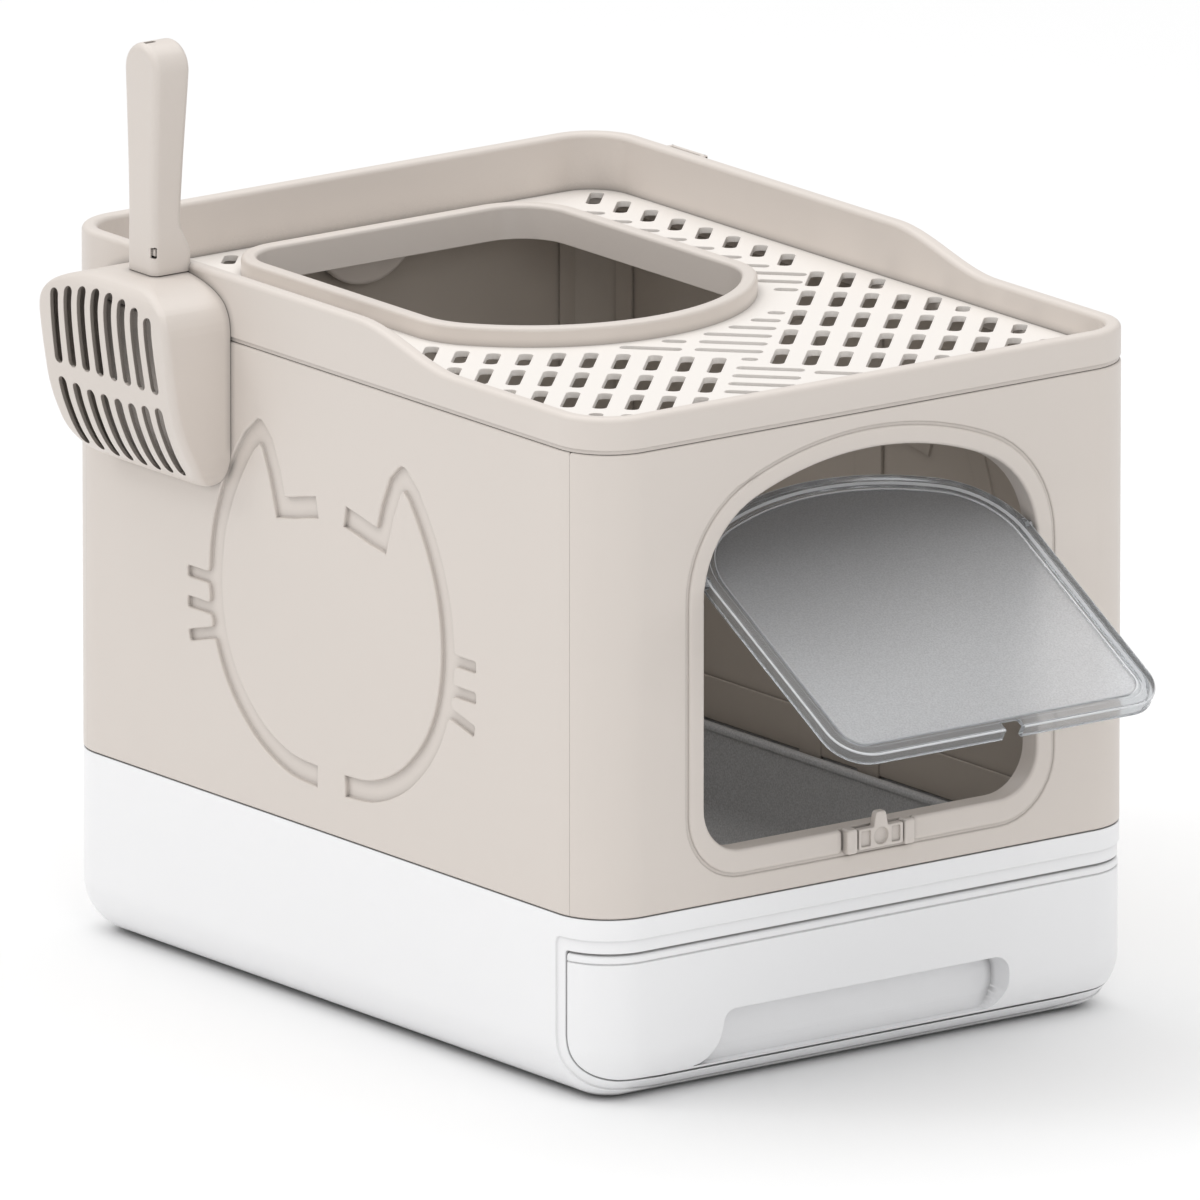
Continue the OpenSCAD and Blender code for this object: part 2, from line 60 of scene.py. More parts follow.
# ------------------------------------------------------------------ 2D tools
def sub(a, b):
    return (a[0] - b[0], a[1] - b[1])


def unit(a):
    n = math.hypot(a[0], a[1]) or 1e-9
    return (a[0] / n, a[1] / n)


def off(loop, d):
    """A closed loop moved to its left by d, with mitred corners."""
    if abs(d) < 1e-9:
        return list(loop)
    out = []
    n = len(loop)
    for i in range(n):
        a = unit(sub(loop[i], loop[i - 1]))
        b = unit(sub(loop[(i + 1) % n], loop[i]))
        k = d / max(0.35, 1 + a[0] * b[0] + a[1] * b[1])
        out.append((loop[i][0] - (a[1] + b[1]) * k, loop[i][1] + (a[0] + b[0]) * k))
    return out


def arc(cx, cy, r, a0, a1, n=8):
    return [(cx + r * math.cos(math.radians(a0 + (a1 - a0) * i / n)),
             cy + r * math.sin(math.radians(a0 + (a1 - a0) * i / n))) for i in range(n + 1)]


def rrect(w, d, r, n=8):
    return (arc(w / 2 - r, d / 2 - r, r, 0, 90, n) + arc(-w / 2 + r, d / 2 - r, r, 90, 180, n)
            + arc(-w / 2 + r, -d / 2 + r, r, 180, 270, n) + arc(w / 2 - r, -d / 2 + r, r, 270, 360, n))


def box2(x0, y0, x1, y1, r=0.0, n=4):
    if r <= 0:
        return [(x0, y0), (x1, y0), (x1, y1), (x0, y1)]
    return [((x0 + x1) / 2 + p[0], (y0 + y1) / 2 + p[1]) for p in rrect(x1 - x0, y1 - y0, r, n)]


def fillet(pts, rad, n=5):
    """A closed loop through corner points, each rounded by its radius."""
    out = []
    m = len(pts)
    for i, p in enumerate(pts):
        r = rad[i] if isinstance(rad, (list, tuple)) else rad
        if r <= 0:
            out.append(p)
            continue
        a = unit(sub(pts[i - 1], p))
        b = unit(sub(pts[(i + 1) % m], p))
        c = max(-0.9999, min(0.9999, a[0] * b[0] + a[1] * b[1]))
        half = math.acos(c) / 2
        t = r / math.tan(half)
        t = min(t, 0.49 * math.dist(p, pts[i - 1]), 0.49 * math.dist(p, pts[(i + 1) % m]))
        r = t * math.tan(half)
        q = unit((a[0] + b[0], a[1] + b[1]))
        k = r / math.sin(half)
        cx, cy = p[0] + q[0] * k, p[1] + q[1] * k
        a0 = math.atan2(p[1] + a[1] * t - cy, p[0] + a[0] * t - cx)
        a1 = math.atan2(p[1] + b[1] * t - cy, p[0] + b[0] * t - cx)
        da = (a1 - a0 + math.pi) % (2 * math.pi) - math.pi
        out += [(cx + r * math.cos(a0 + da * k2 / n), cy + r * math.sin(a0 + da * k2 / n)) for k2 in range(n + 1)]
    return out


def spline(p, n=6):
    out = []
    for i in range(len(p) - 1):
        a, b, c, d = p[max(i - 1, 0)], p[i], p[i + 1], p[min(i + 2, len(p) - 1)]
        for k in range(n):
            t = k / n
            out.append(tuple(0.5 * (2 * b[j] + (c[j] - a[j]) * t + (2 * a[j] - 5 * b[j] + 4 * c[j] - d[j]) * t * t
                                    + (3 * b[j] - a[j] - 3 * c[j] + d[j]) * t ** 3) for j in (0, 1)))
    out.append(tuple(p[-1]))
    return out


def arch(hw, z1, z0, r1, rb, n=10):
    b = z1 - SPRING
    r2 = ((hw - r1) ** 2 + b * b - r1 * r1) / (2 * (b - r1))
    t = math.degrees(math.atan2(SPRING - z1 + r2, hw - r1))
    return (arc(hw - rb, z0 + rb, rb, 270, 360, n) + arc(hw - r1, SPRING, r1, 0, t, n)
            + arc(0, z1 - r2, r2, t, 180 - t, 3 * n) + arc(-hw + r1, SPRING, r1, 180 - t, 180, n)
            + arc(-hw + rb, z0 + rb, rb, 180, 270, n))


def door(o, low=0.0):
    return arch(115 + o, 350 + o, 135.5 - o - low, 58.5 + o, 26 + o)


def flap(o):
    return arch(111.5 - o, 346 - o, 137.5 + o, 55 - o, max(23 - o, 6))


def collar(o):
    a, y0, b, r1, rr = 112 + o, 20.0, 82 + o, 52 + o, 38 + o
    r2 = ((a - r1) ** 2 + b * b - r1 * r1) / (2 * (b - r1))
    t = math.degrees(math.atan2(b - r2, a - r1))
    return (arc(a - rr, 210 + o - rr, rr, 0, 90, 12) + arc(-a + rr, 210 + o - rr, rr, 90, 180, 12)
            + arc(-a + r1, y0, r1, 180, 180 - t, 10) + arc(0, y0 - b + r2, r2, 180 - t, 360 + t, 30)
            + arc(a - r1, y0, r1, 360 + t, 360, 10))


# ------------------------------------------------------------------ meshes
class Part:
    """A mesh in its own flat space, cut along lines and then laid on the object by a map."""

    def __init__(self, fmap=None, cuts=()):
        self.v, self.f, self.fmap, self.cuts, self.extra = [], [], fmap, list(cuts), []

    def ring(self, pts):
        i = len(self.v)
        self.v.extend(pts)
        return list(range(i, i + len(pts)))

    def band(self, a, b, closed=True):
        n = len(a)
        for i in range(n if closed else n - 1):
            j = (i + 1) % n
            self.f.append((a[i], a[j], b[j], b[i]))

    def cap(self, loops, axes=(0, 1)):
        flat = [i for l in loops for i in l]
        polys = [[Vector((self.v[i][axes[0]], self.v[i][axes[1]], 0.0)) for i in l] for l in loops]
        for t in tessellate_polygon(polys):
            self.f.append(tuple(flat[k] for k in t))

    def stack(self, rings, closed=True, close_all=False):
        ids = [self.ring(r) for r in rings]
        for a, b in zip(ids, ids[1:]):
            self.band(a, b, closed)
        if close_all:
            self.band(ids[-1], ids[0], closed)
        return ids

    def pocket(self, loop, prof):
        ids = self.stack([[(x, y, t) for x, y in off(loop, i)] for i, t in prof])
        self.cap([ids[-1]])
        return ids[0]

    def plate(self, outer, holes, prof, front=(), back=()):
        first, last = [], []
        for loop, g in [(outer, 1)] + [(h, -1) for h in holes]:
            ids = self.stack([[(x, y, t) for x, y in off(loop, g * i)] for i, t in prof])
            first.append(ids[0])
            last.append(ids[-1])
        self.cap(first + [self.pocket(*p) for p in front])
        self.cap(last + [self.pocket(*p) for p in back])
        return self


def build(parts, merge=0.004):
    """One bmesh, in metres, of several parts."""
    whole = bmesh.new()
    for p in parts:
        bm = bmesh.new()
        vs = [bm.verts.new(c) for c in p.v]
        for f in p.f:
            if len(set(f)) == len(f):
                try:
                    bm.faces.new([vs[i] for i in f])
                except ValueError:
                    pass
        bmesh.ops.remove_doubles(bm, verts=bm.verts, dist=merge)
        for axis, val in p.cuts:
            no = [0, 0, 0]
            no[axis] = 1
            co = [0, 0, 0]
            co[axis] = val
            bmesh.ops.bisect_plane(bm, geom=bm.verts[:] + bm.edges[:] + bm.faces[:], dist=1e-4, plane_co=co, plane_no=no)
        if p.fmap:
            for v in bm.verts:
                v.co = p.fmap(*v.co)
        for poly in p.extra:
            bm.faces.new([bm.verts.new(c) for c in poly])
        bmesh.ops.remove_doubles(bm, verts=bm.verts, dist=merge)
        bmesh.ops.dissolve_degenerate(bm, dist=merge / 2, edges=bm.edges)
        bmesh.ops.delete(bm, geom=[v for v in bm.verts if not v.link_faces], context="VERTS")
        bmesh.ops.recalc_face_normals(bm, faces=bm.faces)
        me = bpy.data.meshes.new("tmp")
        bm.to_mesh(me)
        bm.free()
        whole.from_mesh(me)
        bpy.data.meshes.remove(me)
    bmesh.ops.scale(whole, vec=(0.001, 0.001, 0.001), verts=whole.verts)
    return whole


def add(name, parts, body, nodes, mat, sharp=36, merge=0.004, dress=True, second=None):
    bm = build(parts, merge)
    me = bpy.data.meshes.new(name)
    bm.to_mesh(me)
    bm.free()
    o = bpy.data.objects.new(name, me)
    bpy.context.scene.collection.objects.link(o)
    if dress:
        finish_piece(o, body, nodes, mat, sharp, second)
    return o


def faces_in(c, n):
    """True for a wall's inner face, which takes the darker painted-shading material."""
    x, y = abs(c[0]) * 1000 - QF, abs(c[1]) * 1000 - QS
    if x > 0 and y > 0:
        d = unit((x, y))
        if math.hypot(x, y) > R - 1.5:
            return False
    else:
        d = (1, 0) if x > y else (0, 1)
        if max(x, y) > R - 1.5:
            return False
    return n[0] * math.copysign(d[0], c[0]) + n[1] * math.copysign(d[1], c[1]) < 0.3


def finish_piece(o, body, nodes, mat, sharp=36, second=None):
    me = o.data
    me.polygons.foreach_set("use_smooth", [True] * len(me.polygons))
    me.set_sharp_from_angle(angle=math.radians(sharp))
    m = o.modifiers.new("normals", "WEIGHTED_NORMAL")
    m.keep_sharp = True
    m.weight = 50
    me.materials.clear()
    me.materials.append(mat)
    if second:
        me.materials.append(second[0])
    for f in me.polygons:
        f.material_index = 1 if second and second[1](f.center, f.normal) else 0
    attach(o, body)
    for n in nodes:
        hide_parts(n)
    return o


def boolean(o, cutters, op="DIFFERENCE"):
    """o with the cutters taken away (or kept), as plain mesh data."""
    for c in cutters:
        m = o.modifiers.new("b", "BOOLEAN")
        m.object = c
        m.operation = op
        m.solver = "EXACT"
    bpy.context.view_layer.update()
    dg = bpy.context.evaluated_depsgraph_get()
    me = bpy.data.meshes.new_from_object(o.evaluated_get(dg))
    o.modifiers.clear()
    old = o.data
    o.data = me
    bpy.data.meshes.remove(old)
    for c in cutters:
        d = c.data
        bpy.data.objects.remove(c)
        bpy.data.meshes.remove(d)
    bm = bmesh.new()
    bm.from_mesh(o.data)
    bmesh.ops.remove_doubles(bm, verts=bm.verts, dist=2e-5)
    bmesh.ops.dissolve_degenerate(bm, dist=1e-5, edges=bm.edges)
    bm.to_mesh(o.data)
    bm.free()
    return o


def raw(parts):
    return add("work", parts, None, (), None, dress=False)


def prism(loop, axis, a, b):
    """A straight prism of a loop along an axis (0 = X, loop in y,z; 1 = Y, loop in x,z; 2 = Z, loop in x,y)."""
    put = {0: lambda u, v, t: (t, u, v), 1: lambda u, v, t: (u, t, v), 2: lambda u, v, t: (u, v, t)}[axis]
    p = Part(put)
    p.plate(loop, [], [(0, a), (0, b)])
    return p


def block(x0, y0, z0, x1, y1, z1, r=0.5, axis=1, rc=None, n=3):
    """A block with all its edges rounded by r, built as a plate across one axis; rc rounds the four long corners."""
    put = {0: lambda u, v, t: (t, u, v), 1: lambda u, v, t: (u, t, v), 2: lambda u, v, t: (u, v, t)}[axis]
    lo, hi = [x0, y0, z0], [x1, y1, z1]
    u0, u1, v0, v1 = [(lo[k], hi[k]) for k in range(3) if k != axis][0] + [(lo[k], hi[k]) for k in range(3) if k != axis][1]
    a, b = lo[axis], hi[axis]
    rc = r + 0.3 if rc is None else rc
    prof = [(r * (1 - math.cos(math.radians(90 * k / n))), a + r * (1 - math.sin(math.radians(90 * k / n)))) for k in range(n, -1, -1)]
    prof += [(r * (1 - math.cos(math.radians(90 * k / n))), b - r * (1 - math.sin(math.radians(90 * k / n)))) for k in range(0, n + 1)]
    p = Part(put)
    p.plate(box2(u0, v0, u1, v1, max(rc, r + 0.05), 4), [], prof)
    return p


# ------------------------------------------------------------------ maps
def around(s, inset):
    g = 1 if s >= 0 else -1
    a = abs(s)
    r = R - inset
    if a <= S1:
        x, y = a, -(QS + r)
    elif a < S2:
        q = (a - S1) / R
        x, y = QF + r * math.sin(q), -QS - r * math.cos(q)
    elif a <= S3:
        x, y = QF + r, -QS + (a - S2)
    elif a < S4:
        q = (a - S3) / R
        x, y = QF + r * math.cos(q), QS + r * math.sin(q)
    else:
        x, y = QF - (a - S4), QS + r
    return g * x, y


def wall_map(s, z, t):
    x, y = around(s, t)
    return (x, y, z)


def rear_map(s, z, t):
    x, y = around(s, t)
    return (-x, -y, z)


def base_map(s, v, t):
    if v >= RB:
        z, i = v, t
    else:
        q = (RB - v) / RB
        z, i = RB - (RB - t) * math.sin(q), RB - (RB - t) * math.cos(q)
    x, y = around(s, i)
    return (x, y, z)


def v_of(z, t=0.0):
    return z if z >= RB else RB - RB * math.asin(min(1.0, (RB - z) / (RB - t)))


def side_map(g):
    def f(u, z, t):
        a = abs(u) - QS
        if a <= 0:
            x, y = W / 2 - t, u
        else:
            q = a / R
            x, y = QF + (R - t) * math.cos(q), math.copysign(QS + (R - t) * math.sin(q), u)
        return (g * x, y, z)
    return f


def mouth(g, t, n=16):
    """The drawer's front opening grown by g, on the surface at depth t, in (s, v)."""
    def sv(y, z):
        if z >= RB:
            v, i = z, t
        else:
            q = math.asin(min(1.0, (RB - z) / (RB - t)))
            v, i = RB - RB * q, RB - (RB - t) * math.cos(q)
        rr = R - i
        c = (-y - QS) / rr
        if c > 1:
            return None
        return (S1 + R * math.acos(c), v) if c >= 0 else (S2 + (y + QS), v)

    r = 28 + g
    lo, hi = 0.0, 90.0
    for _ in range(40):
        mid = (lo + hi) / 2
        a = math.radians(mid)
        if sv(-250 + r * math.cos(a), 40 - r * math.sin(a)):
            lo = mid
        else:
            hi = mid
    right = []
    for k in range(n + 1):
        a = math.radians(lo * (1 - k / n))
        right.append(sv(-250 + r * math.cos(a), 40 - r * math.sin(a)))
    top = 87.5 + g
    s = right[-1][0]
    c = max(0.3, 1.5 + g * 0.3)
    right += [(s, top - c), (s - 0.3 * c, top - 0.3 * c), (s - c, top)]
    vb = v_of(12 - g, t)
    side = [(120.0, vb), (140.0, vb)] + right
    return side + [(-x, y) for x, y in reversed(side)]


# ------------------------------------------------------------------ materials
def paint_occlusion_shading(nt, last, distance, strength, power=1.0, full=1.0):
    """Painted shade: ambient occlusion darkens the colour where the surface is hemmed in, in crevices and hollows."""
    ao = nt.nodes.new("ShaderNodeAmbientOcclusion")
    ao.samples = 8
    ao.inputs["Distance"].default_value = distance
    pw = nt.nodes.new("ShaderNodeMath")
    pw.operation = "POWER"
    pw.inputs[1].default_value = power
    nt.links.new(ao.outputs["AO"], pw.inputs[0])
    mr = nt.nodes.new("ShaderNodeMapRange")
    mr.inputs["From Max"].default_value = full
    mr.inputs["To Min"].default_value = 1 - strength
    mr.inputs["To Max"].default_value = 1.0
    nt.links.new(pw.outputs[0], mr.inputs["Value"])
    mul = nt.nodes.new("ShaderNodeMix")
    mul.data_type = "RGBA"
    mul.blend_type = "MULTIPLY"
    mul.inputs["Factor"].default_value = 1.0
    nt.links.new(last, mul.inputs["A"])
    nt.links.new(mr.outputs["Result"], mul.inputs["B"])
    return mul.outputs["Result"]


def material(name, color, rough=0.4, vary=0.03, grain=0.12, grain_size=0.9, spec=0.5, coat=0.0, speck=None, rough_vary=0.03, crease_shading=(), rough_scale=14.0):
    m = bpy.data.materials.new(name)
    m.use_nodes = True
    nt = m.node_tree
    b = nt.nodes["Principled BSDF"]
    tc = nt.nodes.new("ShaderNodeTexCoord")

    def noise(scale, detail=2.0):
        n = nt.nodes.new("ShaderNodeTexNoise")
        n.inputs["Scale"].default_value = scale
        n.inputs["Detail"].default_value = detail
        nt.links.new(tc.outputs["Object"], n.inputs["Vector"])
        return n

    big = noise(9.0)
    mix = nt.nodes.new("ShaderNodeMix")
    mix.data_type = "RGBA"
    mix.inputs["A"].default_value = (*[c * (1 - vary) for c in color], 1)
    mix.inputs["B"].default_value = (*[min(1, c * (1 + vary)) for c in color], 1)
    nt.links.new(big.outputs["Fac"], mix.inputs["Factor"])
    last = mix.outputs["Result"]
    if speck:
        fine = noise(speck[0], 3.0)
        ramp = nt.nodes.new("ShaderNodeMapRange")
        ramp.inputs["From Min"].default_value = 0.35
        ramp.inputs["From Max"].default_value = 0.65
        nt.links.new(fine.outputs["Fac"], ramp.inputs["Value"])
        mul = nt.nodes.new("ShaderNodeMix")
        mul.data_type = "RGBA"
        mul.blend_type = "MULTIPLY"
        mul.inputs["Factor"].default_value = 1.0
        shade = nt.nodes.new("ShaderNodeMix")
        shade.data_type = "RGBA"
        shade.inputs["A"].default_value = (1 - speck[1],) * 3 + (1,)
        shade.inputs["B"].default_value = (1 + speck[1],) * 3 + (1,)
        nt.links.new(ramp.outputs["Result"], shade.inputs["Factor"])
        nt.links.new(last, mul.inputs["A"])
        nt.links.new(shade.outputs["Result"], mul.inputs["B"])
        last = mul.outputs["Result"]
    # painted shade: each setting multiplies ambient-occlusion darkening into the base colour
    for c in crease_shading:
        last = paint_occlusion_shading(nt, last, *c)
    nt.links.new(last, b.inputs["Base Color"])
    rn = noise(rough_scale)
    rr = nt.nodes.new("ShaderNodeMapRange")
    rr.inputs["To Min"].default_value = max(0.02, rough - rough_vary)
    rr.inputs["To Max"].default_value = min(1.0, rough + rough_vary)
    nt.links.new(rn.outputs["Fac"], rr.inputs["Value"])
    nt.links.new(rr.outputs["Result"], b.inputs["Roughness"])
    if grain > 0:
        g = noise(1000.0 / grain_size)
        bump = nt.nodes.new("ShaderNodeBump")
        bump.inputs["Strength"].default_value = grain
        bump.inputs["Distance"].default_value = 0.0002
        nt.links.new(g.outputs["Fac"], bump.inputs["Height"])
        nt.links.new(bump.outputs["Normal"], b.inputs["Normal"])
    b.inputs["Specular IOR Level"].default_value = spec
    if coat > 0:
        b.inputs["Coat Weight"].default_value = coat
        b.inputs["Coat Roughness"].default_value = 0.12
    return m


# Painted shade: ambient occlusion darkens a material's colour in narrow gaps (near setting, 5 mm reach) and in deep
# hollows (deep setting, 55 mm reach, only where the surface is more than half hemmed in); WHITE and DECK carry their
# own near settings.
NEAR_SHADING = (0.005, 0.5, 1.2)
DEEP_SHADING = (0.055, 0.8, 1.0, 0.5)
WHITE = material("white_gloss", (0.92, 0.92, 0.928), rough=0.3, vary=0.006, grain=0.05, grain_size=7.0, spec=0.45, crease_shading=[(0.005, 0.55, 1.3)])
BEIGE = material("beige_panel", (0.71, 0.65, 0.60), rough=0.38, vary=0.01, grain=0.05, grain_size=6.0, spec=0.4, crease_shading=[NEAR_SHADING, DEEP_SHADING])
# painted shade: a darker copy of the beige panel colour for the walls' inner faces
INNER_SHADING_PAINT = material("beige_inner_painted_shading", (0.50, 0.445, 0.39), rough=0.6, vary=0.02, grain=0.08, grain_size=5.0, spec=0.3, crease_shading=[NEAR_SHADING, DEEP_SHADING])
TRIM = material("beige_trim", (0.70, 0.64, 0.59), rough=0.33, vary=0.01, grain=0.04, grain_size=6.0, spec=0.5, crease_shading=[NEAR_SHADING])
TRIM_IN = material("beige_trim_in", (0.70, 0.635, 0.58), rough=0.4, vary=0.01, grain=0.04, grain_size=6.0, spec=0.4, crease_shading=[NEAR_SHADING, DEEP_SHADING])
DECK = material("light_deck", (0.84, 0.80, 0.76), rough=0.45, vary=0.01, grain=0.04, grain_size=6.0, spec=0.35, crease_shading=[(0.005, 0.4, 1.2), DEEP_SHADING])
GREY = material("grey_pan", (0.47, 0.47, 0.472), rough=0.55, vary=0.04, grain=0.35, grain_size=1.2, speck=(1000.0, 0.16), spec=0.35)
# painted shade: a dark beige for the scoop's inner faces and slot walls, darker than the scoop's own plastic
SCOOP_SHADING_PAINT = material("beige_painted_shading", (0.27, 0.24, 0.215), rough=0.6, vary=0.02, grain=0.06, grain_size=5.0, spec=0.25, crease_shading=[NEAR_SHADING])
COAL = material("charcoal", (0.03, 0.03, 0.03), rough=0.9, vary=0.2, grain=0.8, grain_size=1.5, speck=(600.0, 0.4), spec=0.1)


def glassy(name, color, rough, trans, grain, grain_size, vary=0.02, ior=1.45, alpha=1.0, speck=None):
    m = material(name, color, rough=rough, vary=vary, grain=grain, grain_size=grain_size, rough_vary=0.02, speck=speck)
    b = m.node_tree.nodes["Principled BSDF"]
    b.inputs["Transmission Weight"].default_value = trans
    b.inputs["IOR"].default_value = ior
    b.inputs["Alpha"].default_value = alpha
    return m


CLEAR = glassy("clear_rim", (0.62, 0.635, 0.65), 0.1, 0.86, 0.02, 8.0, ior=1.22)
# painted highlight: a whiter, cloudier copy of the clear plastic for the flap rim's slanted faces, standing in for the
# bright lines that light makes along its edges
EDGE_GLINT_PAINT = glassy("clear_edge_painted_glint", (0.80, 0.81, 0.83), 0.25, 0.4, 0.02, 8.0, ior=1.3)
PANE = glassy("smoky_pane", (0.79, 0.80, 0.815), 0.42, 0.62, 0.3, 0.9, ior=1.18, speck=(1050.0, 0.12))


def paint_pane_shading(m, start, end, low):
    """Painted shade on the pane: darkest at the hinge and fading out towards the free edge."""
    nt = m.node_tree
    b = nt.nodes["Principled BSDF"]
    src = b.inputs["Base Color"].links[0].from_socket
    tc = nt.nodes.new("ShaderNodeTexCoord")
    sep = nt.nodes.new("ShaderNodeSeparateXYZ")
    nt.links.new(tc.outputs["Object"], sep.inputs["Vector"])
    skew = nt.nodes.new("ShaderNodeMath")
    skew.operation = "MULTIPLY_ADD"
    skew.inputs[1].default_value = -0.12
    nt.links.new(sep.outputs["X"], skew.inputs[0])
    nt.links.new(sep.outputs["Y"], skew.inputs[2])
    mr = nt.nodes.new("ShaderNodeMapRange")
    mr.interpolation_type = "SMOOTHSTEP"
    mr.inputs["From Min"].default_value = start
    mr.inputs["From Max"].default_value = end
    nt.links.new(skew.outputs[0], mr.inputs["Value"])
    shade = nt.nodes.new("ShaderNodeMix")
    shade.data_type = "RGBA"
    shade.inputs["A"].default_value = (low, low, low * 1.01, 1)
    shade.inputs["B"].default_value = (1, 1, 1, 1)
    nt.links.new(mr.outputs["Result"], shade.inputs["Factor"])
    mul = nt.nodes.new("ShaderNodeMix")
    mul.data_type = "RGBA"
    mul.blend_type = "MULTIPLY"
    mul.inputs["Factor"].default_value = 1.0
    nt.links.new(src, mul.inputs["A"])
    nt.links.new(shade.outputs["Result"], mul.inputs["B"])
    nt.links.new(mul.outputs["Result"], b.inputs["Base Color"])


# painted shade: the pane is darker near the hinge and lighter towards the free edge
paint_pane_shading(PANE, -0.215, -0.345, 0.55)

# ------------------------------------------------------------------ base
EDGE = [(0.55, 0), (0.17, 0.16), (0, 0.55)]
base = Part(base_map, [(0, s) for s in FRONT_CUTS + REAR_CUTS] + [(1, v) for v in FILLET_V])
vb = RB - RB * math.pi / 2
rows = [(BASE_TOP - 0.6, 0), (BASE_TOP - 0.18, 0.17), (BASE_TOP, 0.6), (BASE_TOP, 2.5), (BASE_TOP - 0.4, 3.0)]
ids = [base.ring([(-S5, v, t), (S5, v, t)]) for v, t in rows]
for a, b in zip(ids, ids[1:]):
    base.band(a, b, False)
o0 = base.ring([(-S5, vb, 0), (S5, vb, 0)])
i0 = base.ring([(-S5, vb, 3), (S5, vb, 3)])
base.band(o0, i0, False)
mouths = [(8.3, 0), (7.7, 0.15), (7.4, 0.6), (7.2, 1.0), (6.8, 1.15), (0.7, 1.0), (0.2, 1.15), (0, 1.6), (0, 3.0)]
mr = base.stack([[(s, v, t) for s, v in mouth(g, t)] for g, t in mouths])
base.cap([o0 + ids[0][::-1], mr[0]])
base.cap([i0 + ids[-1][::-1], mr[-1]])
svals = sorted(set(FRONT_CUTS + REAR_CUTS + [0.0]))
svals = [-S5] + [s for s in svals if s != 0.0]
base.extra = [[base_map(s, vb, 0) for s in svals], [base_map(s, vb, 3) for s in svals]]
rails = [block(g * 120 - 6, -215, 2.5, g * 120 + 6, 230, 13.2, 0.8, axis=1, rc=1.2) for g in (-1, 1)]
add("base_tray_shell", [base] + rails, "housing", ["base_tray"], WHITE)

# ------------------------------------------------------------------ body panels
door_hole = door(12.1, 3)
SOFT = [(1.3, 0), (0.85, 0.08), (0.42, 0.34), (0.12, 0.75), (0, 1.3)]
PROF = SOFT + [(0, 2.6), (0.1, 2.9), (0.4, 3.0)]


def wall_plate(p, half, holes=(), front=(), back=(), hole_prof=None):
    """A wall panel: soft upper and lower edges, almost square upright ones with small rounded corners."""
    rings = []
    for i, t in PROF:
        q = fillet(box2(-half + 0.12 * i, P0 + i, half - 0.12 * i, P1 - i, 0), [0.5, 0.5, 1.1, 1.1], 3)
        rings.append([(x, y, t) for x, y in q])
    ids = p.stack(rings)
    first, last = [ids[0]], [ids[-1]]
    for h in holes:
        r = p.stack([[(x, y, t) for x, y in off(h, -i)] for i, t in (hole_prof or PROF)])
        first.append(r[0])
        last.append(r[-1])
    p.cap(first + [p.pocket(*q) for q in front])
    p.cap(last + [p.pocket(*q) for q in back])


front = Part(wall_map, [(0, s) for s in FRONT_CUTS if abs(s) < 200])
wall_plate(front, 200.34, [door_hole])
# the panel's inner faces take the darker painted-shading material
add("front_panel_shell", [front], "housing", ["front_panel"], BEIGE, second=(INNER_SHADING_PAINT, faces_in))

RE = S5 - 200.3 - 2 * QS - 0.0
rear_half = QF + ARC - (S2 - 200.0)
rear = Part(rear_map, [(0, g * (S1 + R * math.radians(a))) for g in (-1, 1) for a in range(0, 90, 6)])
wall_plate(rear, 200.34)
skirt = Part(rear_map, rear.cuts)
skirt.plate(box2(-199.5, 83.5, 199.5, 108.5, 0.8), [], [(0.3, 3.3), (0, 3.6), (0, 4.5), (0.4, 4.9)])
ribs = [block(g * 162 - 6, D / 2 - T - 1.8, P0 + 0.5, g * 162 + 6, D / 2 - T + 0.5, P1 - 0.5, 0.5, axis=1) for g in (-1, 1)]
# the panel's inner faces take the darker painted-shading material
add("rear_panel_shell", [rear, skirt] + ribs, "housing", ["rear_panel"], BEIGE, second=(INNER_SHADING_PAINT, faces_in))

# the plain cat outline: one half, as distances from its centre line
HALF = spline([(13, 138), (35, 139.5), (55, 146), (73, 157), (90, 174), (101, 193), (107, 214), (108.5, 236),
               (105.5, 260), (98, 282), (88, 301), (77, 317)], 5) + [(67, 325.5), (60, 319), (53, 304), (47, 285.2), (36, 287.0), (25, 289.6), (13, 292)]
WHISKERS = [((104, 201.9), (132.6, 194.4)), ((104, 213.5), (134, 213.5)), ((104, 231), (134, 231))]


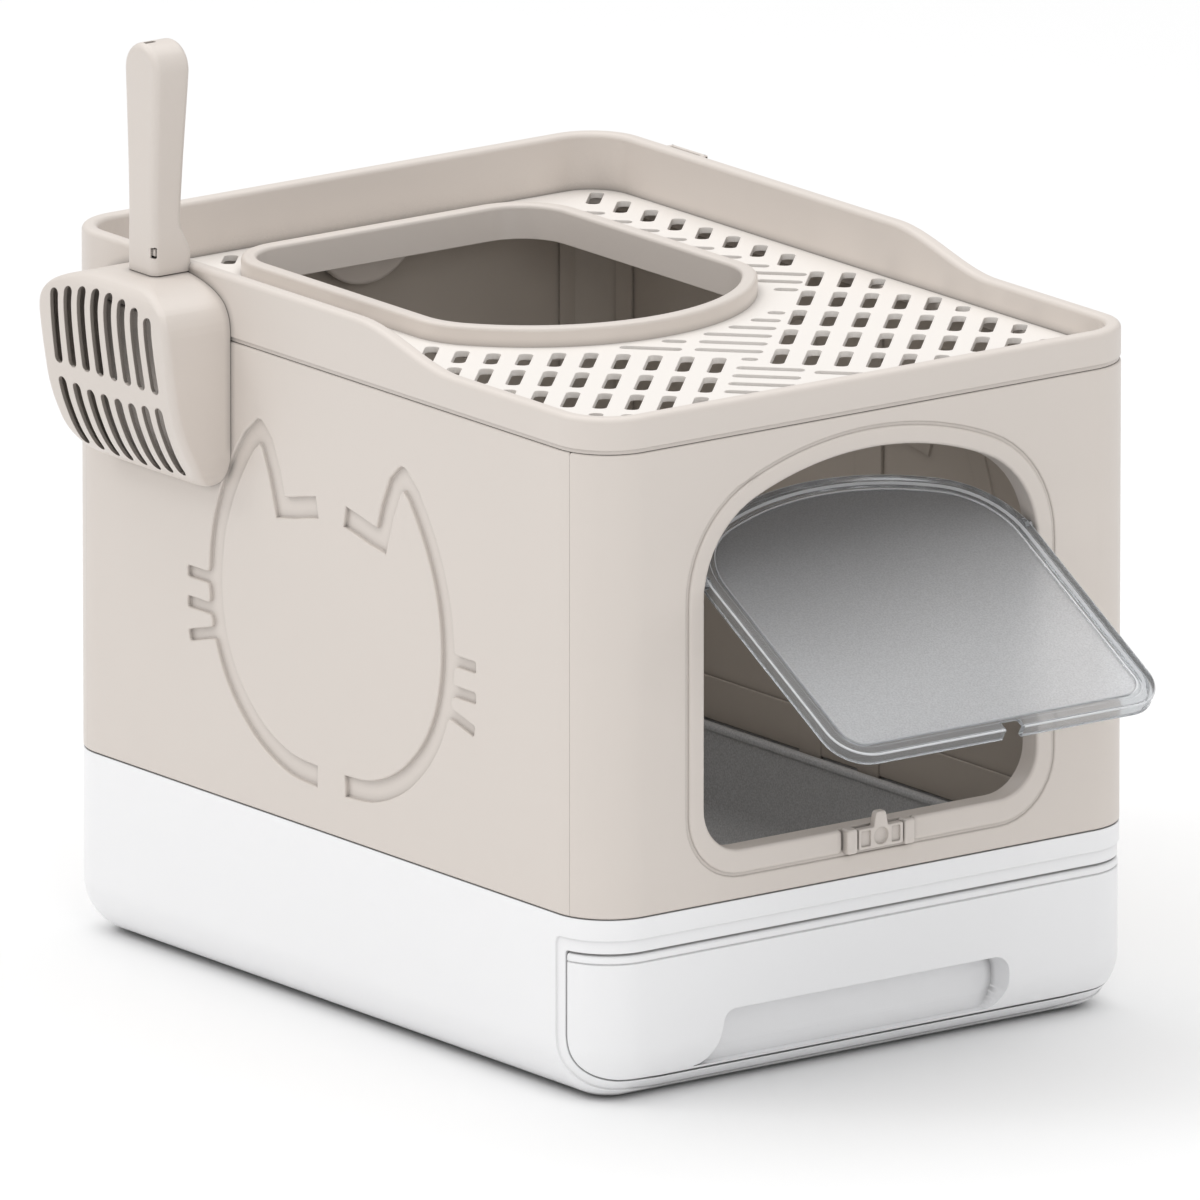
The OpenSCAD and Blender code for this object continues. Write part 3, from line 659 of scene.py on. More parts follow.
def stroke(p, w, whisk=True, tip=None):
    """Closed loop round a line: its outer (right) side forward, with the whiskers, then its inner side back."""
    tip = w / 2 if tip is None else tip

    def side(g):
        out = []
        for i, q in enumerate(p):
            a = unit(sub(p[i], p[i - 1])) if i else unit(sub(p[1], p[0]))
            b = unit(sub(p[i + 1], p[i])) if i < len(p) - 1 else a
            cr = a[0] * b[1] - a[1] * b[0]
            na, nb = (a[1] * g, -a[0] * g), (b[1] * g, -b[0] * g)
            turn = math.degrees(math.asin(max(-1, min(1, cr)))) if a[0] * b[0] + a[1] * b[1] > 0 else math.copysign(90, cr)
            if cr * g > 0 and abs(turn) > 25 and q[1] > 300:
                a0, a1 = math.atan2(na[1], na[0]), math.atan2(nb[1], nb[0])
                da = (a1 - a0 + math.pi) % (2 * math.pi) - math.pi
                for k in range(6):
                    out.append((q[0] + w / 2 * math.cos(a0 + da * k / 5), q[1] + w / 2 * math.sin(a0 + da * k / 5)))
            else:
                k = w / 2 / max(0.3, 1 + a[0] * b[0] + a[1] * b[1])
                out.append((q[0] + (na[0] + nb[0]) * k, q[1] + (na[1] + nb[1]) * k))
        return out

    right, left = side(1), side(-1)
    if whisk:
        for (ax, az), (bx, bz) in WHISKERS:
            d = unit((bx - ax, bz - az))
            n = (-d[1], d[0])
            h = (w - 5.5) / 2

            def cross(g):
                px, pz = ax + n[0] * h * g, az + n[1] * h * g
                for i in range(len(right) - 1):
                    (x0, z0), (x1, z1) = right[i], right[i + 1]
                    f0 = (x0 - px) * n[0] + (z0 - pz) * n[1]
                    f1 = (x1 - px) * n[0] + (z1 - pz) * n[1]
                    if f0 <= 0 < f1 and x0 > 90:
                        k = f0 / (f0 - f1)
                        return i, (x0 + (x1 - x0) * k, z0 + (z1 - z0) * k)

            i0_, q0 = cross(-1)
            i1_, q1 = cross(1)
            e = (w - 10.5) / 2
            ex, ez = bx + d[0] * e, bz + d[1] * e
            c = 1.4
            tipp = [(ex - d[0] * c - n[0] * h, ez - d[1] * c - n[1] * h), (ex - d[0] * 0.3 * c - n[0] * (h - 0.3 * c), ez - d[1] * 0.3 * c - n[1] * (h - 0.3 * c)),
                    (ex - n[0] * (h - c), ez - n[1] * (h - c)), (ex + n[0] * (h - c), ez + n[1] * (h - c)),
                    (ex - d[0] * 0.3 * c + n[0] * (h - 0.3 * c), ez - d[1] * 0.3 * c + n[1] * (h - 0.3 * c)), (ex - d[0] * c + n[0] * h, ez - d[1] * c + n[1] * h)]
            def root(q, d_out, nxt, r=3.2):
                a_ = (q[0] + d_out[0] * r, q[1] + d_out[1] * r)
                c_ = (q[0] + nxt[0] * r, q[1] + nxt[1] * r)
                return [tuple((1 - t) ** 2 * c_[j] + 2 * t * (1 - t) * q[j] + t * t * a_[j] for j in (0, 1)) for t in (0, 0.25, 0.5, 0.75, 1)]

            below = unit(sub(right[i0_], q0))
            above = unit(sub(right[i1_ + 1], q1))
            keep0 = [p_ for p_ in right[:i0_ + 1] if math.dist(p_, q0) > 3.3]
            keep1 = [p_ for p_ in right[i1_ + 1:] if math.dist(p_, q1) > 3.3]
            right = keep0 + root(q0, d, below) + tipp + root(q1, d, above)[::-1] + keep1
    return right + left[::-1]


def cat(w, whisk=True):
    a = [(x - 6, z) for x, z in stroke(HALF, w, whisk)]
    b = [(-6 - (x + 6), z) for x, z in reversed(a)]
    return [a, b]


GROOVE = [(-1.2, 0), (-0.72, 0.08), (-0.3, 0.32), (0.0, 0.75), (0.1, 2.2), (0.3, 2.6), (0.7, 2.75)]
RAISED = [(-0.8, 3.0), (-0.2, 3.2), (0, 3.8), (0.2, 4.3), (0.7, 4.5)]
for name, g in (("left_panel", -1), ("right_panel", 1)):
    fm = side_map(g)
    cuts = [(0, k * (QS + q)) for k in (-1, 1) for q in (0, 2, 4, 6, 8)]
    p = Part(fm, cuts)
    wall_plate(p, 226.14, front=[(l, GROOVE) for l in cat(12)], back=[(l, RAISED) for l in cat(14)])
    skirt = Part(fm, cuts)
    skirt.plate(box2(-212, 83.5, 225, 108.5, 0.8), [], [(0.3, 3.3), (0, 3.6), (0, 4.5), (0.4, 4.9)])
    more = [skirt]
    rib = Part(fm)
    rib.plate(box2(-15, P0 + 1, 9, P1 - 1, 0.6), [], [(0.2, 2.6), (0, 2.8), (0, 4.6), (0.4, 5.0)])
    more.append(rib)
    for y in (-180, -14, 40, 180):
        q = Part(fm)
        q.plate(box2(y, 82, y + 20, 122, 0.8), [], [(0.4, 3.3), (0, 3.6), (0, 5.1), (0.4, 5.5)])
        more.append(q)
    for k in (-1, 1):
        q = Part(fm, [(0, k * (QS + a)) for a in (0, 4, 8, 12)])
        q.plate(box2(min(k * 218.5, k * 232), P0 + 0.4, max(k * 218.5, k * 232), P1 - 0.4, 0), [], [(0, 3.2), (0, 4.8)])
        more.append(q)
    # the panel's inner faces take the darker painted-shading material
    add(name + "_shell", [p] + more, "housing", [name], BEIGE, second=(INNER_SHADING_PAINT, faces_in))

# ------------------------------------------------------------------ door band and latch
along = lambda u, v, t: (u, t, v)
full_out, full_in = door(10.6, 3), door(0)


def open_ring(outer, inner, x0, x1, r):
    """The band as one loop that is open between x0 and x1 at the bottom."""
    zo, zi = min(z for _, z in outer), min(z for _, z in inner)
    o_ = [p for p in outer]
    i_ = [p for p in inner]
    # arch() starts at the lower right corner and ends at the lower left corner
    a = arc(x1 + r, zo + r, r, 270, 180, 5)[::-1][::-1]
    start = arc(x1 + r, zo + r, r, 180, 270, 5)
    end_o = arc(x0 - r, zo + r, r, 270, 360, 5)
    end_i = arc(x0 - r, zi - r, r, 0, 90, 5)
    start_i = arc(x1 + r, zi - r, r, 90, 180, 5)
    return start + o_ + end_o + end_i + i_[::-1] + start_i


ring = Part(along)
ring.plate(full_out, [full_in], [(0.0, -248.6), (0, -238.3), (0.25, -237.75), (0.8, -237.5)])
ring_c = Part(along)
ring_c.plate(open_ring(full_out, full_in, -20, 28, 3.0), [], [(1.9, -251.6), (1.1, -251.48), (0.5, -251.1), (0.12, -250.5), (0, -249.8), (0, -248.5)])
flange = Part(along)
fo, fi = door(18.5, 3), door(10.5, 3)
flange.plate([(x, min(z, 359)) for x, z in fo], [[(x, min(z, 358)) for x, z in fi]], [(0, -247.8), (0, -245.8)])
filler = Part(along)
filler.plate(door(13.5, 3), [door(9.0, 3)], [(0, -250.1), (0, -248.2)])
add("door_band", [ring, ring_c, flange, filler], "housing", ["door_frame"], TRIM)

gl = block(-19.4, -255.5, 121.5, -12.2, -248.2, 135.8, 1.3, axis=1, rc=1.8)
gr = block(20.2, -255.5, 121.5, 27.4, -248.2, 135.8, 1.3, axis=1, rc=1.8)
bl = block(-14.2, -252.6, 122.2, -11.9, -249, 135.2, 0.4, axis=1)
br = block(19.9, -252.6, 122.2, 22.2, -249, 135.2, 0.4, axis=1)
add("latch_guide_blocks", [gl, gr, bl, br], "housing", ["latch_guides"], TRIM)

slider = Part(along)
LZ0, LZ1 = 122.9, 135.0
body2 = fillet([(-11.4, LZ0), (19.4, LZ0), (19.4, LZ1), (9.0, LZ1), (7.4, 143.4), (0.6, 143.4), (-1.0, LZ1), (-11.4, LZ1)],
               [1.2, 1.2, 1.2, 0.8, 2.2, 2.2, 0.8, 1.2], 4)
dimple = arc(4, 129.3, 5.0, 0, 360, 28)[:-1]
win_l = box2(-9.7, 124.6, -3.1, 133.6, 0.8, 3)
win_r = box2(11.3, 124.6, 17.2, 133.6, 0.8, 3)
POCK = [(-0.4, -255.2), (-0.1, -255.05), (0.05, -254.7), (0.05, -254.0), (0.3, -253.8)]
DISH = [(-0.3, -255.2), (-0.05, -255.05), (0.1, -254.5), (0.35, -253.7), (0.8, -253.4)]
slider.plate(body2, [], [(0.9, -255.2), (0.3, -254.95), (0, -254.3), (0, -251.3), (0.3, -250.9)],
             front=[(dimple, DISH), (win_l, POCK), (win_r, POCK)])
ribs = []
stem = block(0.5, -251.3, 124, 7.5, -237.3, 129, 0.3, axis=1)
head = block(-2.5, -237.1, 122, 10.5, -235.1, 131, 0.4, axis=1)
add("latch_slider_piece", [slider] + ribs + [stem, head], "latch", ["latch_slider"], TRIM)


# ------------------------------------------------------------------ flap
def flap_map(x, z, t):
    a = math.radians(-60)
    y = -249.0 + t - PIVOT[0]
    z = z - PIVOT[1]
    return (x, PIVOT[0] + y * math.cos(a) - z * math.sin(a), PIVOT[1] + y * math.sin(a) + z * math.cos(a))


def swept(fm, section, curve):
    p = Part(fm)
    p.stack([[(x, z, t) for x, z in curve(i)] for i, t in section], close_all=True)
    return p


rim = raw([swept(flap_map, [(0, 0.85), (0.25, 0.25), (0.85, 0), (6.0, 0), (6.25, 0.12), (7.0, 1.1), (7.25, 1.25), (10.1, 1.25), (10.7, 1.45), (11.0, 1.9),
                            (11.0, 3.2), (8.4, 3.2), (8.2, 2.6), (3.2, 2.4), (3.0, 2.8), (3.0, 7.5), (2.6, 8.0), (0.5, 8.0), (0, 7.5)], flap)])
notch = Part(flap_map)
notch.plate(fillet([(-2.5, 120), (10.5, 120), (10.5, 145.5), (-2.5, 145.5)], [0, 0, 1.5, 1.5], 4), [], [(0, -3), (0, 11)])
boolean(rim, [raw([notch])])
bosses = []
for g in (-1, 1):
    pin = Part()
    pin.stack([[(g * x, PIVOT[0] + r * math.cos(math.radians(a)), PIVOT[1] + r * math.sin(math.radians(a))) for a in range(0, 360, 15)]
               for x, r in ((108.4, 3.4), (110.9, 3.4), (111.4, 3.0), (111.4, 2.4), (114.5, 2.4), (114.8, 2.1))])
    pin.f.append(tuple(range(24)))
    pin.f.append(tuple(range(24 * 5, 24 * 6)))
    bosses.append(pin)
rim.name = "flap_clear_rim"
bm = build(bosses)
bm.from_mesh(rim.data)
bm.to_mesh(rim.data)
bm.free()
DEEP = Vector((0, math.cos(math.radians(-60)), math.sin(math.radians(-60))))
# the rim's slanted and rounded faces take the whiter painted-highlight material
finish_piece(rim, "flap", ["flap_frame"], CLEAR, second=(EDGE_GLINT_PAINT, lambda c, n: 0.14 < abs(n.dot(DEEP)) < 0.985))

pane = Part(flap_map)
pane.plate(flap(10.95), [], [(0.3, 1.5), (0, 1.8), (0, 4.4), (0.3, 4.7)])
add("flap_pane", [pane], "flap", ["flap_window"], PANE)


# ------------------------------------------------------------------ drawer
def lip(v):
    """Depth of the convex lip along the drawer's top edge."""
    if v < 80.9:
        return 0.0
    if v < 81.5:
        return 0.8 * (v - 80.9) / 0.6
    if v < 82.4:
        return 0.8 * (1 - (v - 81.5) / 0.9)
    if v < 84.0:
        return 0.0
    return 2.7 - math.sqrt(max(0.0, 2.7 ** 2 - (v - 84.0) ** 2))


def drawer_map(s, v, t):
    return base_map(s, v, 0.8 + (max(t, lip(v)) if t < 2.9 else t))


RECESS = (spline([(-118, 15.0), (-114, 15.9), (-109.2, 19.2), (-105.3, 24), (-102.4, 30), (-100.6, 36)], 4)
          + arc(-92.5, 37.3, 7.7, 168, 90, 5) + arc(87, 35, 10, 90, 0, 8) + spline([(97, 33), (96.3, 27), (93.4, 21.3), (89, 16.8), (84.5, 15.0)], 4))
RECESS = list(reversed(RECESS))


def y_back(z, g=0.0):
    if z >= 24:
        return -231.0 + g - 0.16 * (45 - z)
    return -246.4 + g + math.sqrt(max(0.0, 12.04 ** 2 - (24 - z) ** 2))


def y_front(z, t):
    return base_map(0, v_of(z, t), t)[1]


face = Part(drawer_map, [(0, s) for s in FRONT_CUTS] + [(1, v) for v in FILLET_V if v < 31.9] + [(1, RB)]
            + [(1, v) for v in (80.9, 81.5, 82.4, 84.0, 84.8, 85.5, 86.0, 86.4)])
fr = face.stack([[(s, v, t) for s, v in mouth(g, 0.8 + t)] for g, t in [(-2.0, 0), (-1.35, 0.2), (-1.1, 0.8), (-1.1, 3.0)]])
h0 = off(RECESS, -0.8)
hole0 = face.ring([(x, v_of(z, 0.8), 0) for x, z in h0])
hin = [(x, max(13.4, z)) for x, z in off(RECESS, -2.2)]
hole1 = face.ring([(x, v_of(z, 3.8), 3.0) for x, z in hin])
face.cap([fr[0], hole0])
face.cap([fr[-1], hole1])
pull = Part(None)
rings = [[(x, y_front(z, 0.8), z) for x, z in h0],
         [(x, y_front(z, 0.8) + 0.22, z) for x, z in off(RECESS, -0.24)],
         [(x, y_front(z, 0.8) + 0.85, z) for x, z in RECESS],
         [(x, max(y_front(z, 0.8) + 0.9, y_back(z)), z) for x, z in RECESS]]
pull.stack(rings)
back = Part(lambda x, z, y: (x, y if y > -230 else max(y_front(z, 0.8) + 0.9, y_back(z)), z),
            [(1, 27 - 12 * math.sin(math.radians(a))) for a in (0, 8, 18, 28, 38, 48, 58, 66, 74, 82)])
back.cap([back.ring([(x, z, -300.0) for x, z in RECESS])])
shell = Part(None)
shell.stack([[(x, y_front(z, 3.8), z) for x, z in hin], [(x, -231 + 2.2, z) for x, z in hin]])
backcap = Part(lambda x, z, y: (x, y, z))
backcap.cap([backcap.ring([(x, z, -228.8) for x, z in hin])])
shelf = Part(lambda s, v, t: base_map(s, v, t), [(0, s) for s in FRONT_CUTS])
shelf.plate([(-203.4, 84.3), (203.4, 84.3), (203.4, 86.6), (-203.4, 86.6)], [], [(0, 3.2), (0, 8.7), (0.3, 9.0)])
posts = [block(g * 140 - 8, -248, 46, g * 140 + 8, -212.4, 76, 0.8, axis=1) for g in (-1, 1)]


def joined(parts):
    """Several parts merged into one closed part."""
    bm_all = bmesh.new()
    for p in parts:
        b_ = build([p])
        me = bpy.data.meshes.new("tmp")
        b_.to_mesh(me)
        b_.free()
        bm_all.from_mesh(me)
        bpy.data.meshes.remove(me)
    bmesh.ops.remove_doubles(bm_all, verts=bm_all.verts, dist=1.5e-5)
    bmesh.ops.recalc_face_normals(bm_all, faces=bm_all.faces)
    q = Part()
    bm_all.verts.index_update()
    q.v = [tuple(c * 1000 for c in v.co) for v in bm_all.verts]
    q.f = [tuple(v.index for v in f.verts) for f in bm_all.faces]
    bm_all.free()
    return q


add("drawer_face", [joined([face, pull, back, shell, backcap]), shelf] + posts, "drawer", ["drawer_front"], WHITE, merge=0.002)

PW, PD, PY = 350.0, 446.0, 10.0
pan = Part()
sec = [(28.5 - 25 * math.cos(math.radians(a)) - 0.0, 13.5 + 25 * (1 - math.sin(math.radians(a)))) for a in (90, 75, 60, 45, 30, 15, 0)]
rim_sec = [(3.5, 80.6), (1.2, 81.0), (0.3, 81.8), (0, 83.0), (0.1, 84.3), (0.7, 85.3), (1.8, 85.9), (3.2, 86.0), (4.6, 85.8), (5.6, 85.1), (6.0, 84.0), (5.9, 82.6), (5.2, 81.9), (4.8, 81.0)]
inn = [(4.8 + 0.0, 41.0)] + [(27.3 - 22.5 * math.cos(math.radians(a)), 15.0 + 25 * (1 - math.sin(math.radians(a)))) for a in (15, 30, 45, 60, 75, 90)]
levels = [(i, z) for i, z in sec] + rim_sec + inn


def pan_ring(i, z):
    r = max(33.3 - i, 3.0)
    return [(x, y + PY, z) for x, y in rrect(PW + 7 - 2 * i, PD + 6 - 2 * i, r, 10)]


pr = pan.stack([pan_ring(i, z) for i, z in levels])
pan.cap([pr[0]])
pan.cap([pr[-1]])
add("litter_pan", [pan], "drawer", ["drawer_pan"], GREY)

# ------------------------------------------------------------------ lid
LOW, HIGH = 391.5, 407.5


def rise(y):
    s = min(1.0, max(0.0, (y + 118) / 90))
    return LOW + (HIGH - LOW) * s * s * (3 - 2 * s)


SS = []
for g in (-1, 1):
    SS += [g * (S1 + R * math.radians(a)) for a in range(0, 91, 5)]
    SS += [g * (S2 + q) for q in [QS - 118 + 90 * k / 24 for k in range(25)]]
    SS += [g * (S3 + R * math.radians(a)) for a in range(0, 91, 5)]
SS = sorted(set(round(s, 5) for s in SS))
lid = Part()
f3 = [(3.2 * (1 - math.cos(math.radians(a))), -3.2 * (1 - math.sin(math.radians(a)))) for a in (0, 15, 30, 45, 60, 75, 90)]
section = [("z", 1.15, 370.9), ("z", 1.1, 372.9), ("z", 0.8, 373.15), ("z", 0.2, 373.3), ("z", 0.0, 373.8)] + [("t", i, dz) for i, dz in f3] + [("t", 9 - i, dz) for i, dz in f3[::-1]] + [("z", 9.0, 371.25)]
lr = []
for kind, i, z in section:
    rg = []
    for s in SS:
        x, y = around(s, i)
        rg.append((x, y, z if kind == "z" else rise(around(s, 0)[1]) + z))
    lr.append(rg)
lid.stack(lr, close_all=True)
ledge = Part()
ledge.stack([[(*around(s, i), z) for s in SS] for i, z in
             [(5.3, 363.4), (5.7, 363.0), (7.1, 363.0), (7.5, 363.4), (7.5, 368.2), (14, 368.2), (14, 371.1), (13.8, 371.3), (5.5, 371.3), (5.3, 371.0)]], close_all=True)
add("lid_rim_shell", [lid, ledge], "lid", ["lid_rim"], BEIGE)

PA, PB = (12.5, -12.8), (30.6, 32.6)
DA, DB = unit(PA), unit(PB)


def in_collar(p, m):
    if not (abs(p[0]) < 112 + m and p[1] < 210 + m):
        return False
    return p[1] > 20 or (abs(p[0]) / (112 + m)) ** 2.3 + ((20 - p[1]) / (82 + m)) ** 2.3 < 1


def free(p, m):
    return abs(p[0]) < W / 2 - 11 - m and abs(p[1]) < D / 2 - 11 - m and not in_collar(p, 2.5 + m)


def stretch(c, d, length, w):
    s = [t for t in [-length / 2 + length * i / 48 for i in range(49)] if free((c[0] + d[0] * t, c[1] + d[1] * t), w / 2)]
    if len(s) < 12:
        return None
    m = (s[0] + s[-1]) / 2
    return ((c[0] + d[0] * m, c[1] + d[1] * m), s[-1] - s[0], d, w)


def rows_of(c, a, i, b=(0, 0), j=0):
    return (c[0] + i * a[0] + j * b[0], c[1] + i * a[1] + j * b[1])


cand = []
for i in range(10):
    for j in range(-2, 4):
        c = rows_of((85, -70), PA, i, PB, j)
        if c[0] < 150 or c[1] < 8:
            cand.append(stretch(c, DB, 34, 7.8))
for i in range(-9, 5):
    for j in range(-2, 2):
        c = rows_of((-97, -112), PA, i, PB, j)
        if c[1] < 8:
            cand.append(stretch(c, DB, 34, 7.8))
cand += [stretch(rows_of((9, -108), (12.6, 12.7), k), DA, 37, 7.4) for k in range(11)]
cand += [stretch(rows_of((-23, -77.5), (12.6, 12.7), k), DA, 35, 7.4) for k in range(4)]
cand += [stretch(rows_of((2.5, -155), (12.5, 13), -k), DA, 37, 7.4) for k in range(4)]
cand += [stretch((31, -189), DA, 37, 7.4), stretch((6.5, -130.5), DA, 8, 7)]
cand += [stretch((g * 160, 219 - 25.6 * k), DB, 27, 7.8) for g in (-1, 1) for k in range(8)]
cand += [stretch((g * 132, 45 + 25.6 * k), DA, 31, 7.0) for g in (-1, 1) for k in range(7)]
cand += [stretch((-115 + 25.6 * k, 226), DB, 20, 7.8) for k in range(10)]
slots = [q for q in cand if q and q[1] > 7]


def slot_loop(q):
    (cx, cy), length, d, w = q
    n = (-d[1], d[0])
    loc = rrect(length + 1.0, w, min(w, length) / 2 * 0.82, 4)
    return [(cx + d[0] * x + n[0] * y, cy + d[1] * x + n[1] * y) for x, y in loc]


deck = Part()
deck.plate(rrect(361.4, 483.4, 24.7, 8), [collar(-5.6)] + [slot_loop(q) for q in slots],
           [(0.6, 375.0), (0.18, 374.85), (0, 374.4), (0, 371.7), (0.2, 371.4)])
add("lid_deck_plate", [deck], "lid", ["lid_deck"], DECK)

col = Part()
col.stack([[(x, y, z) for x, y in collar(-i)] for i, z in
           [(0, 375.05), (0, 383.4), (0.35, 384.8), (1.2, 385.7), (2.4, 386), (6.6, 386), (7.8, 385.7), (8.65, 384.8), (9, 383.4), (9, 366.4), (8.6, 366), (6.4, 366), (6.05, 366.4), (6.05, 375.05)]],
          close_all=True)
add("lid_collar_ring", [col], "lid", ["lid_collar"], TRIM)

for name, g in (("scoop_hanger_left", -1), ("scoop_hanger_right", 1)):
    def mir(x0, y0, z0, x1, y1, z1, r, axis):
        xs = sorted((g * x0, g * x1))
        return block(xs[0], y0, z0, xs[1], y1, z1, r, axis=axis)
    hz = 395.9 if g < 0 else 400.6
    ya, yb = (123, 156) if g < 0 else (160.5, 193.5)
    add(name + "_loop", [mir(189.0, ya, hz, 195.6, ya + 3, hz + 5.4, 0.5, 0), mir(189.0, yb - 3, hz, 195.6, yb, hz + 5.4, 0.5, 0),
                         mir(193.2, ya, hz, 195.8, yb, hz + 5.4, 0.7, 1)], "lid", [name], TRIM)

# ------------------------------------------------------------------ scoop
SY = 139.5
BY = 148.5
BACK = -190.4
FACE = spline([(18, 405), (23, 403), (33, 401.3), (39.6, 397.6), (43.2, 391.5), (44.5, 383), (43.9, 372), (42.6, 361), (41, 350), (39.6, 341.5), (38, 333), (35.3, 323.5),
               (31.5, 314), (27.6, 305.8), (22.8, 298), (17.5, 291.6), (13.4, 288.4), (9.5, 286), (4.5, 284.2), (0, 283.6)], 4)


def reach(z):
    """How far the basket's face stands off the wall at a height."""
    for (h0, z0), (h1, z1) in zip(FACE, FACE[1:]):
        if z1 <= z <= z0:
            return h1 + (h0 - h1) * (z - z1) / (z0 - z1)
    return 0.0


def scoop_map(y, z, t):
    return (BACK if t > 500 else BACK - max(0.0, reach(z) - t), y, z)


SW, STOP, SBOT = 61.5, 403.0, 283.5
CR = 24.0
crown = spline([(61.5, -31), (60.2, -24), (56, -17.5), (48, -11.5), (35.7, -6.6), (19.7, -2.4), (5, -0.3), (-8, 0), (-22, -0.5), (-35.7, -2.7), (-48, -6.8), (-56, -12), (-60.2, -19), (-61.5, -26)], 5)
rim_line = [(BY + u, STOP + v) for u, v in crown]
basket_line = (rim_line + [(BY - SW, z) for z in (370, 360, 350, 340, 330, 320)] + arc(BY - SW + CR, SBOT + CR, CR, 180, 270, 14)
               + arc(BY + SW - CR, SBOT + CR, CR, 270, 360, 14) + [(BY + SW, z) for z in (320, 330, 340, 350, 360)])
lean = [(q[0] - p_[0], q[1] - p_[1]) for p_, q in zip(basket_line, off(basket_line, 1))]


def round_at(z):
    k = min(1.0, max(0.0, (z - 372) / 22))
    return 4.6 * (1 - 0.3 * k * k * (3 - 2 * k))


def basket_ring(a, th, flat=None):
    c, d = math.cos(math.radians(a)), math.sin(math.radians(a))
    out = []
    for (y, z), (ny, nz) in zip(basket_line, lean):
        r = round_at(z)
        i = r - (r - th) * c
        out.append((y + ny * i, z + nz * i, flat if flat else r - (r - th) * d))
    return out


def slot_line(k, z0, z1, hw=3.6):
    """One slot; the slots stand a little further apart lower down."""
    pitch = lambda z: 12.45 + (392 - max(343, min(392, z))) * 0.0112
    drift = lambda z: max(0.0, 325 - z) ** 2 * 0.0019
    return [(BY + u + k * pitch(v) + drift(v), v) for u, v in box2(-hw, z0, hw, z1, hw * 0.97, 6)]


shell = Part(scoop_map, [(1, z) for z in (401.6, 400.2, 398.8, 397, 395, 392.5, 390, 386, 382, 377, 371, 365, 359, 353, 347, 342, 338, 334, 329.5, 325, 321, 317, 314, 311, 308, 305, 302, 299.5,
                                          297, 295, 293, 291.3, 289.7, 288, 286.8, 285.6, 284.6)])
ANG = (90, 78, 65, 52, 39, 26, 13, 0)
outer = [shell.ring(basket_ring(a, 0.0)) for a in ANG] + [shell.ring(basket_ring(0, 0.0, 1000.0))]
inner = [shell.ring(basket_ring(a, 2.4)) for a in ANG] + [shell.ring(basket_ring(0, 2.4, 1000.0))]
for q in (outer, inner):
    for a, b in zip(q, q[1:]):
        shell.band(a, b)
shell.band(outer[-1], inner[-1])
first, last = [outer[0]], [inner[0]]
for i in range(8):
    k = i - 3.5
    for z0, z1 in ((343.0, 393.7 - 0.55 * k * k), (291.0 + 1.2 * max(0, abs(k) - 1.5), 332.5 + 1.2 * max(0, abs(k) - 1.5))):
        line = slot_line(k, z0, z1)
        h = shell.stack([[(y, z, t) for y, z in off(line, -i_)] for i_, t in ((0.5, 0), (0.25, 0.06), (0.08, 0.22), (0, 0.5), (0, 2.4))])
        first.append(h[0])
        last.append(h[-1])
shell.cap(first)
shell.cap(last)
tang = block(-210.8, SY - 4.5, 402.5, -202.8, SY + 4.5, 420.8, 0.4, axis=2)
catch = block(-212.3, SY - 11.4, 414.2, -209.6, SY - 4.0, 418.4, 0.3, axis=1)
tongue = block(-192.9, SY - 8, 396.8, -190.9, SY + 8, 402.2, 0.4, axis=2)
# the scoop's inner faces and slot walls take the dark painted-shading material; the scoop itself is one beige plastic
MID = Vector((-0.2, 0.1485, 0.345))
add("scoop_basket_shell", [shell, tang, catch, tongue], "scoop", ["scoop_basket"], TRIM, 34, merge=0.003,
    second=(SCOOP_SHADING_PAINT, lambda c, n: c.z < 0.402 and (n.dot((MID - c).normalized()) > 0.35 or (abs(n.y) > 0.7 and abs(c.y - 0.1485) < 0.054 and c.z < 0.396))))

X0 = -214.0
BACKS = [(402, -186.9), (413.5, -186.9), (416.5, -187.6), (420, -189.3), (424, -191.4), (427.5, -192.9), (431, -193.6), (440, -193.4), (470, -191.9), (500, -190.3), (518, -189.5), (540, -189.5)]
HALVES = [(403.0, 13.2), (424, 13.0), (430, 12.75), (446, 12.9), (470, 13.6), (500, 14.9), (512, 15.5), (518.1, 15.7)]


def at(table, z):
    for (z0, a), (z1, b) in zip(table, table[1:]):
        if z <= z1:
            k = max(0.0, (z - z0) / (z1 - z0))
            return a + (b - a) * k
    return table[-1][1]


def handle_map(y, z, t):
    return (X0 + t if t < 50 else at(BACKS, z) + (t - 100), y, z)


zs = [403.2, 408, 413.5, 416.5, 420, 424, 427.5, 431, 435, 440, 448, 459, 470, 480, 490, 500, 506, 512]
grip = ([(at(HALVES, z), z) for z in zs] + arc(0, 518.1, 15.7, 0, 180, 26) + [(-at(HALVES, z), z) for z in zs[::-1]])
gn = [(q[0] - p_[0], q[1] - p_[1]) for p_, q in zip(grip, off(grip, 1))]
gn[0], gn[-1] = (-1.0, 0.0), (1.0, 0.0)
handle = Part(handle_map, [(1, z) for z in zs[1:]])
steps = [(4.3 * (1 - math.cos(math.radians(a))), 4.3 * (1 - math.sin(math.radians(a)))) for a in (90, 75, 60, 45, 30, 15, 0)]
hr = handle.stack([[(SY + y + ny * i, z + nz * i, t) for (y, z), (ny, nz) in zip(grip, gn)] for i, t in steps + [(i, 100 - t) for i, t in steps[::-1]]])
handle.cap([hr[0]])
handle.cap([hr[-1]])
ho = raw([handle])
boolean(ho, [raw([block(-215.0, SY - 14.5, 413.2, -211.3, SY - 9.5, 419.2, 0.3, axis=1)]),
             raw([block(-213.0, SY - 12.2, 412.9, -208.8, SY - 4.4, 419.5, 0.2, axis=1)]),
             raw([block(-211.2, SY - 4.9, 394, -202.4, SY + 4.9, 421.2, 0.3, axis=2)]),
             raw([block(-210.6, SY - 2.0, 527, -203.6, SY + 1.2, 545, 0.3, axis=2)])])
ho.name = "scoop_handle_shell"
finish_piece(ho, "scoop", ["scoop_handle"], TRIM, 32)


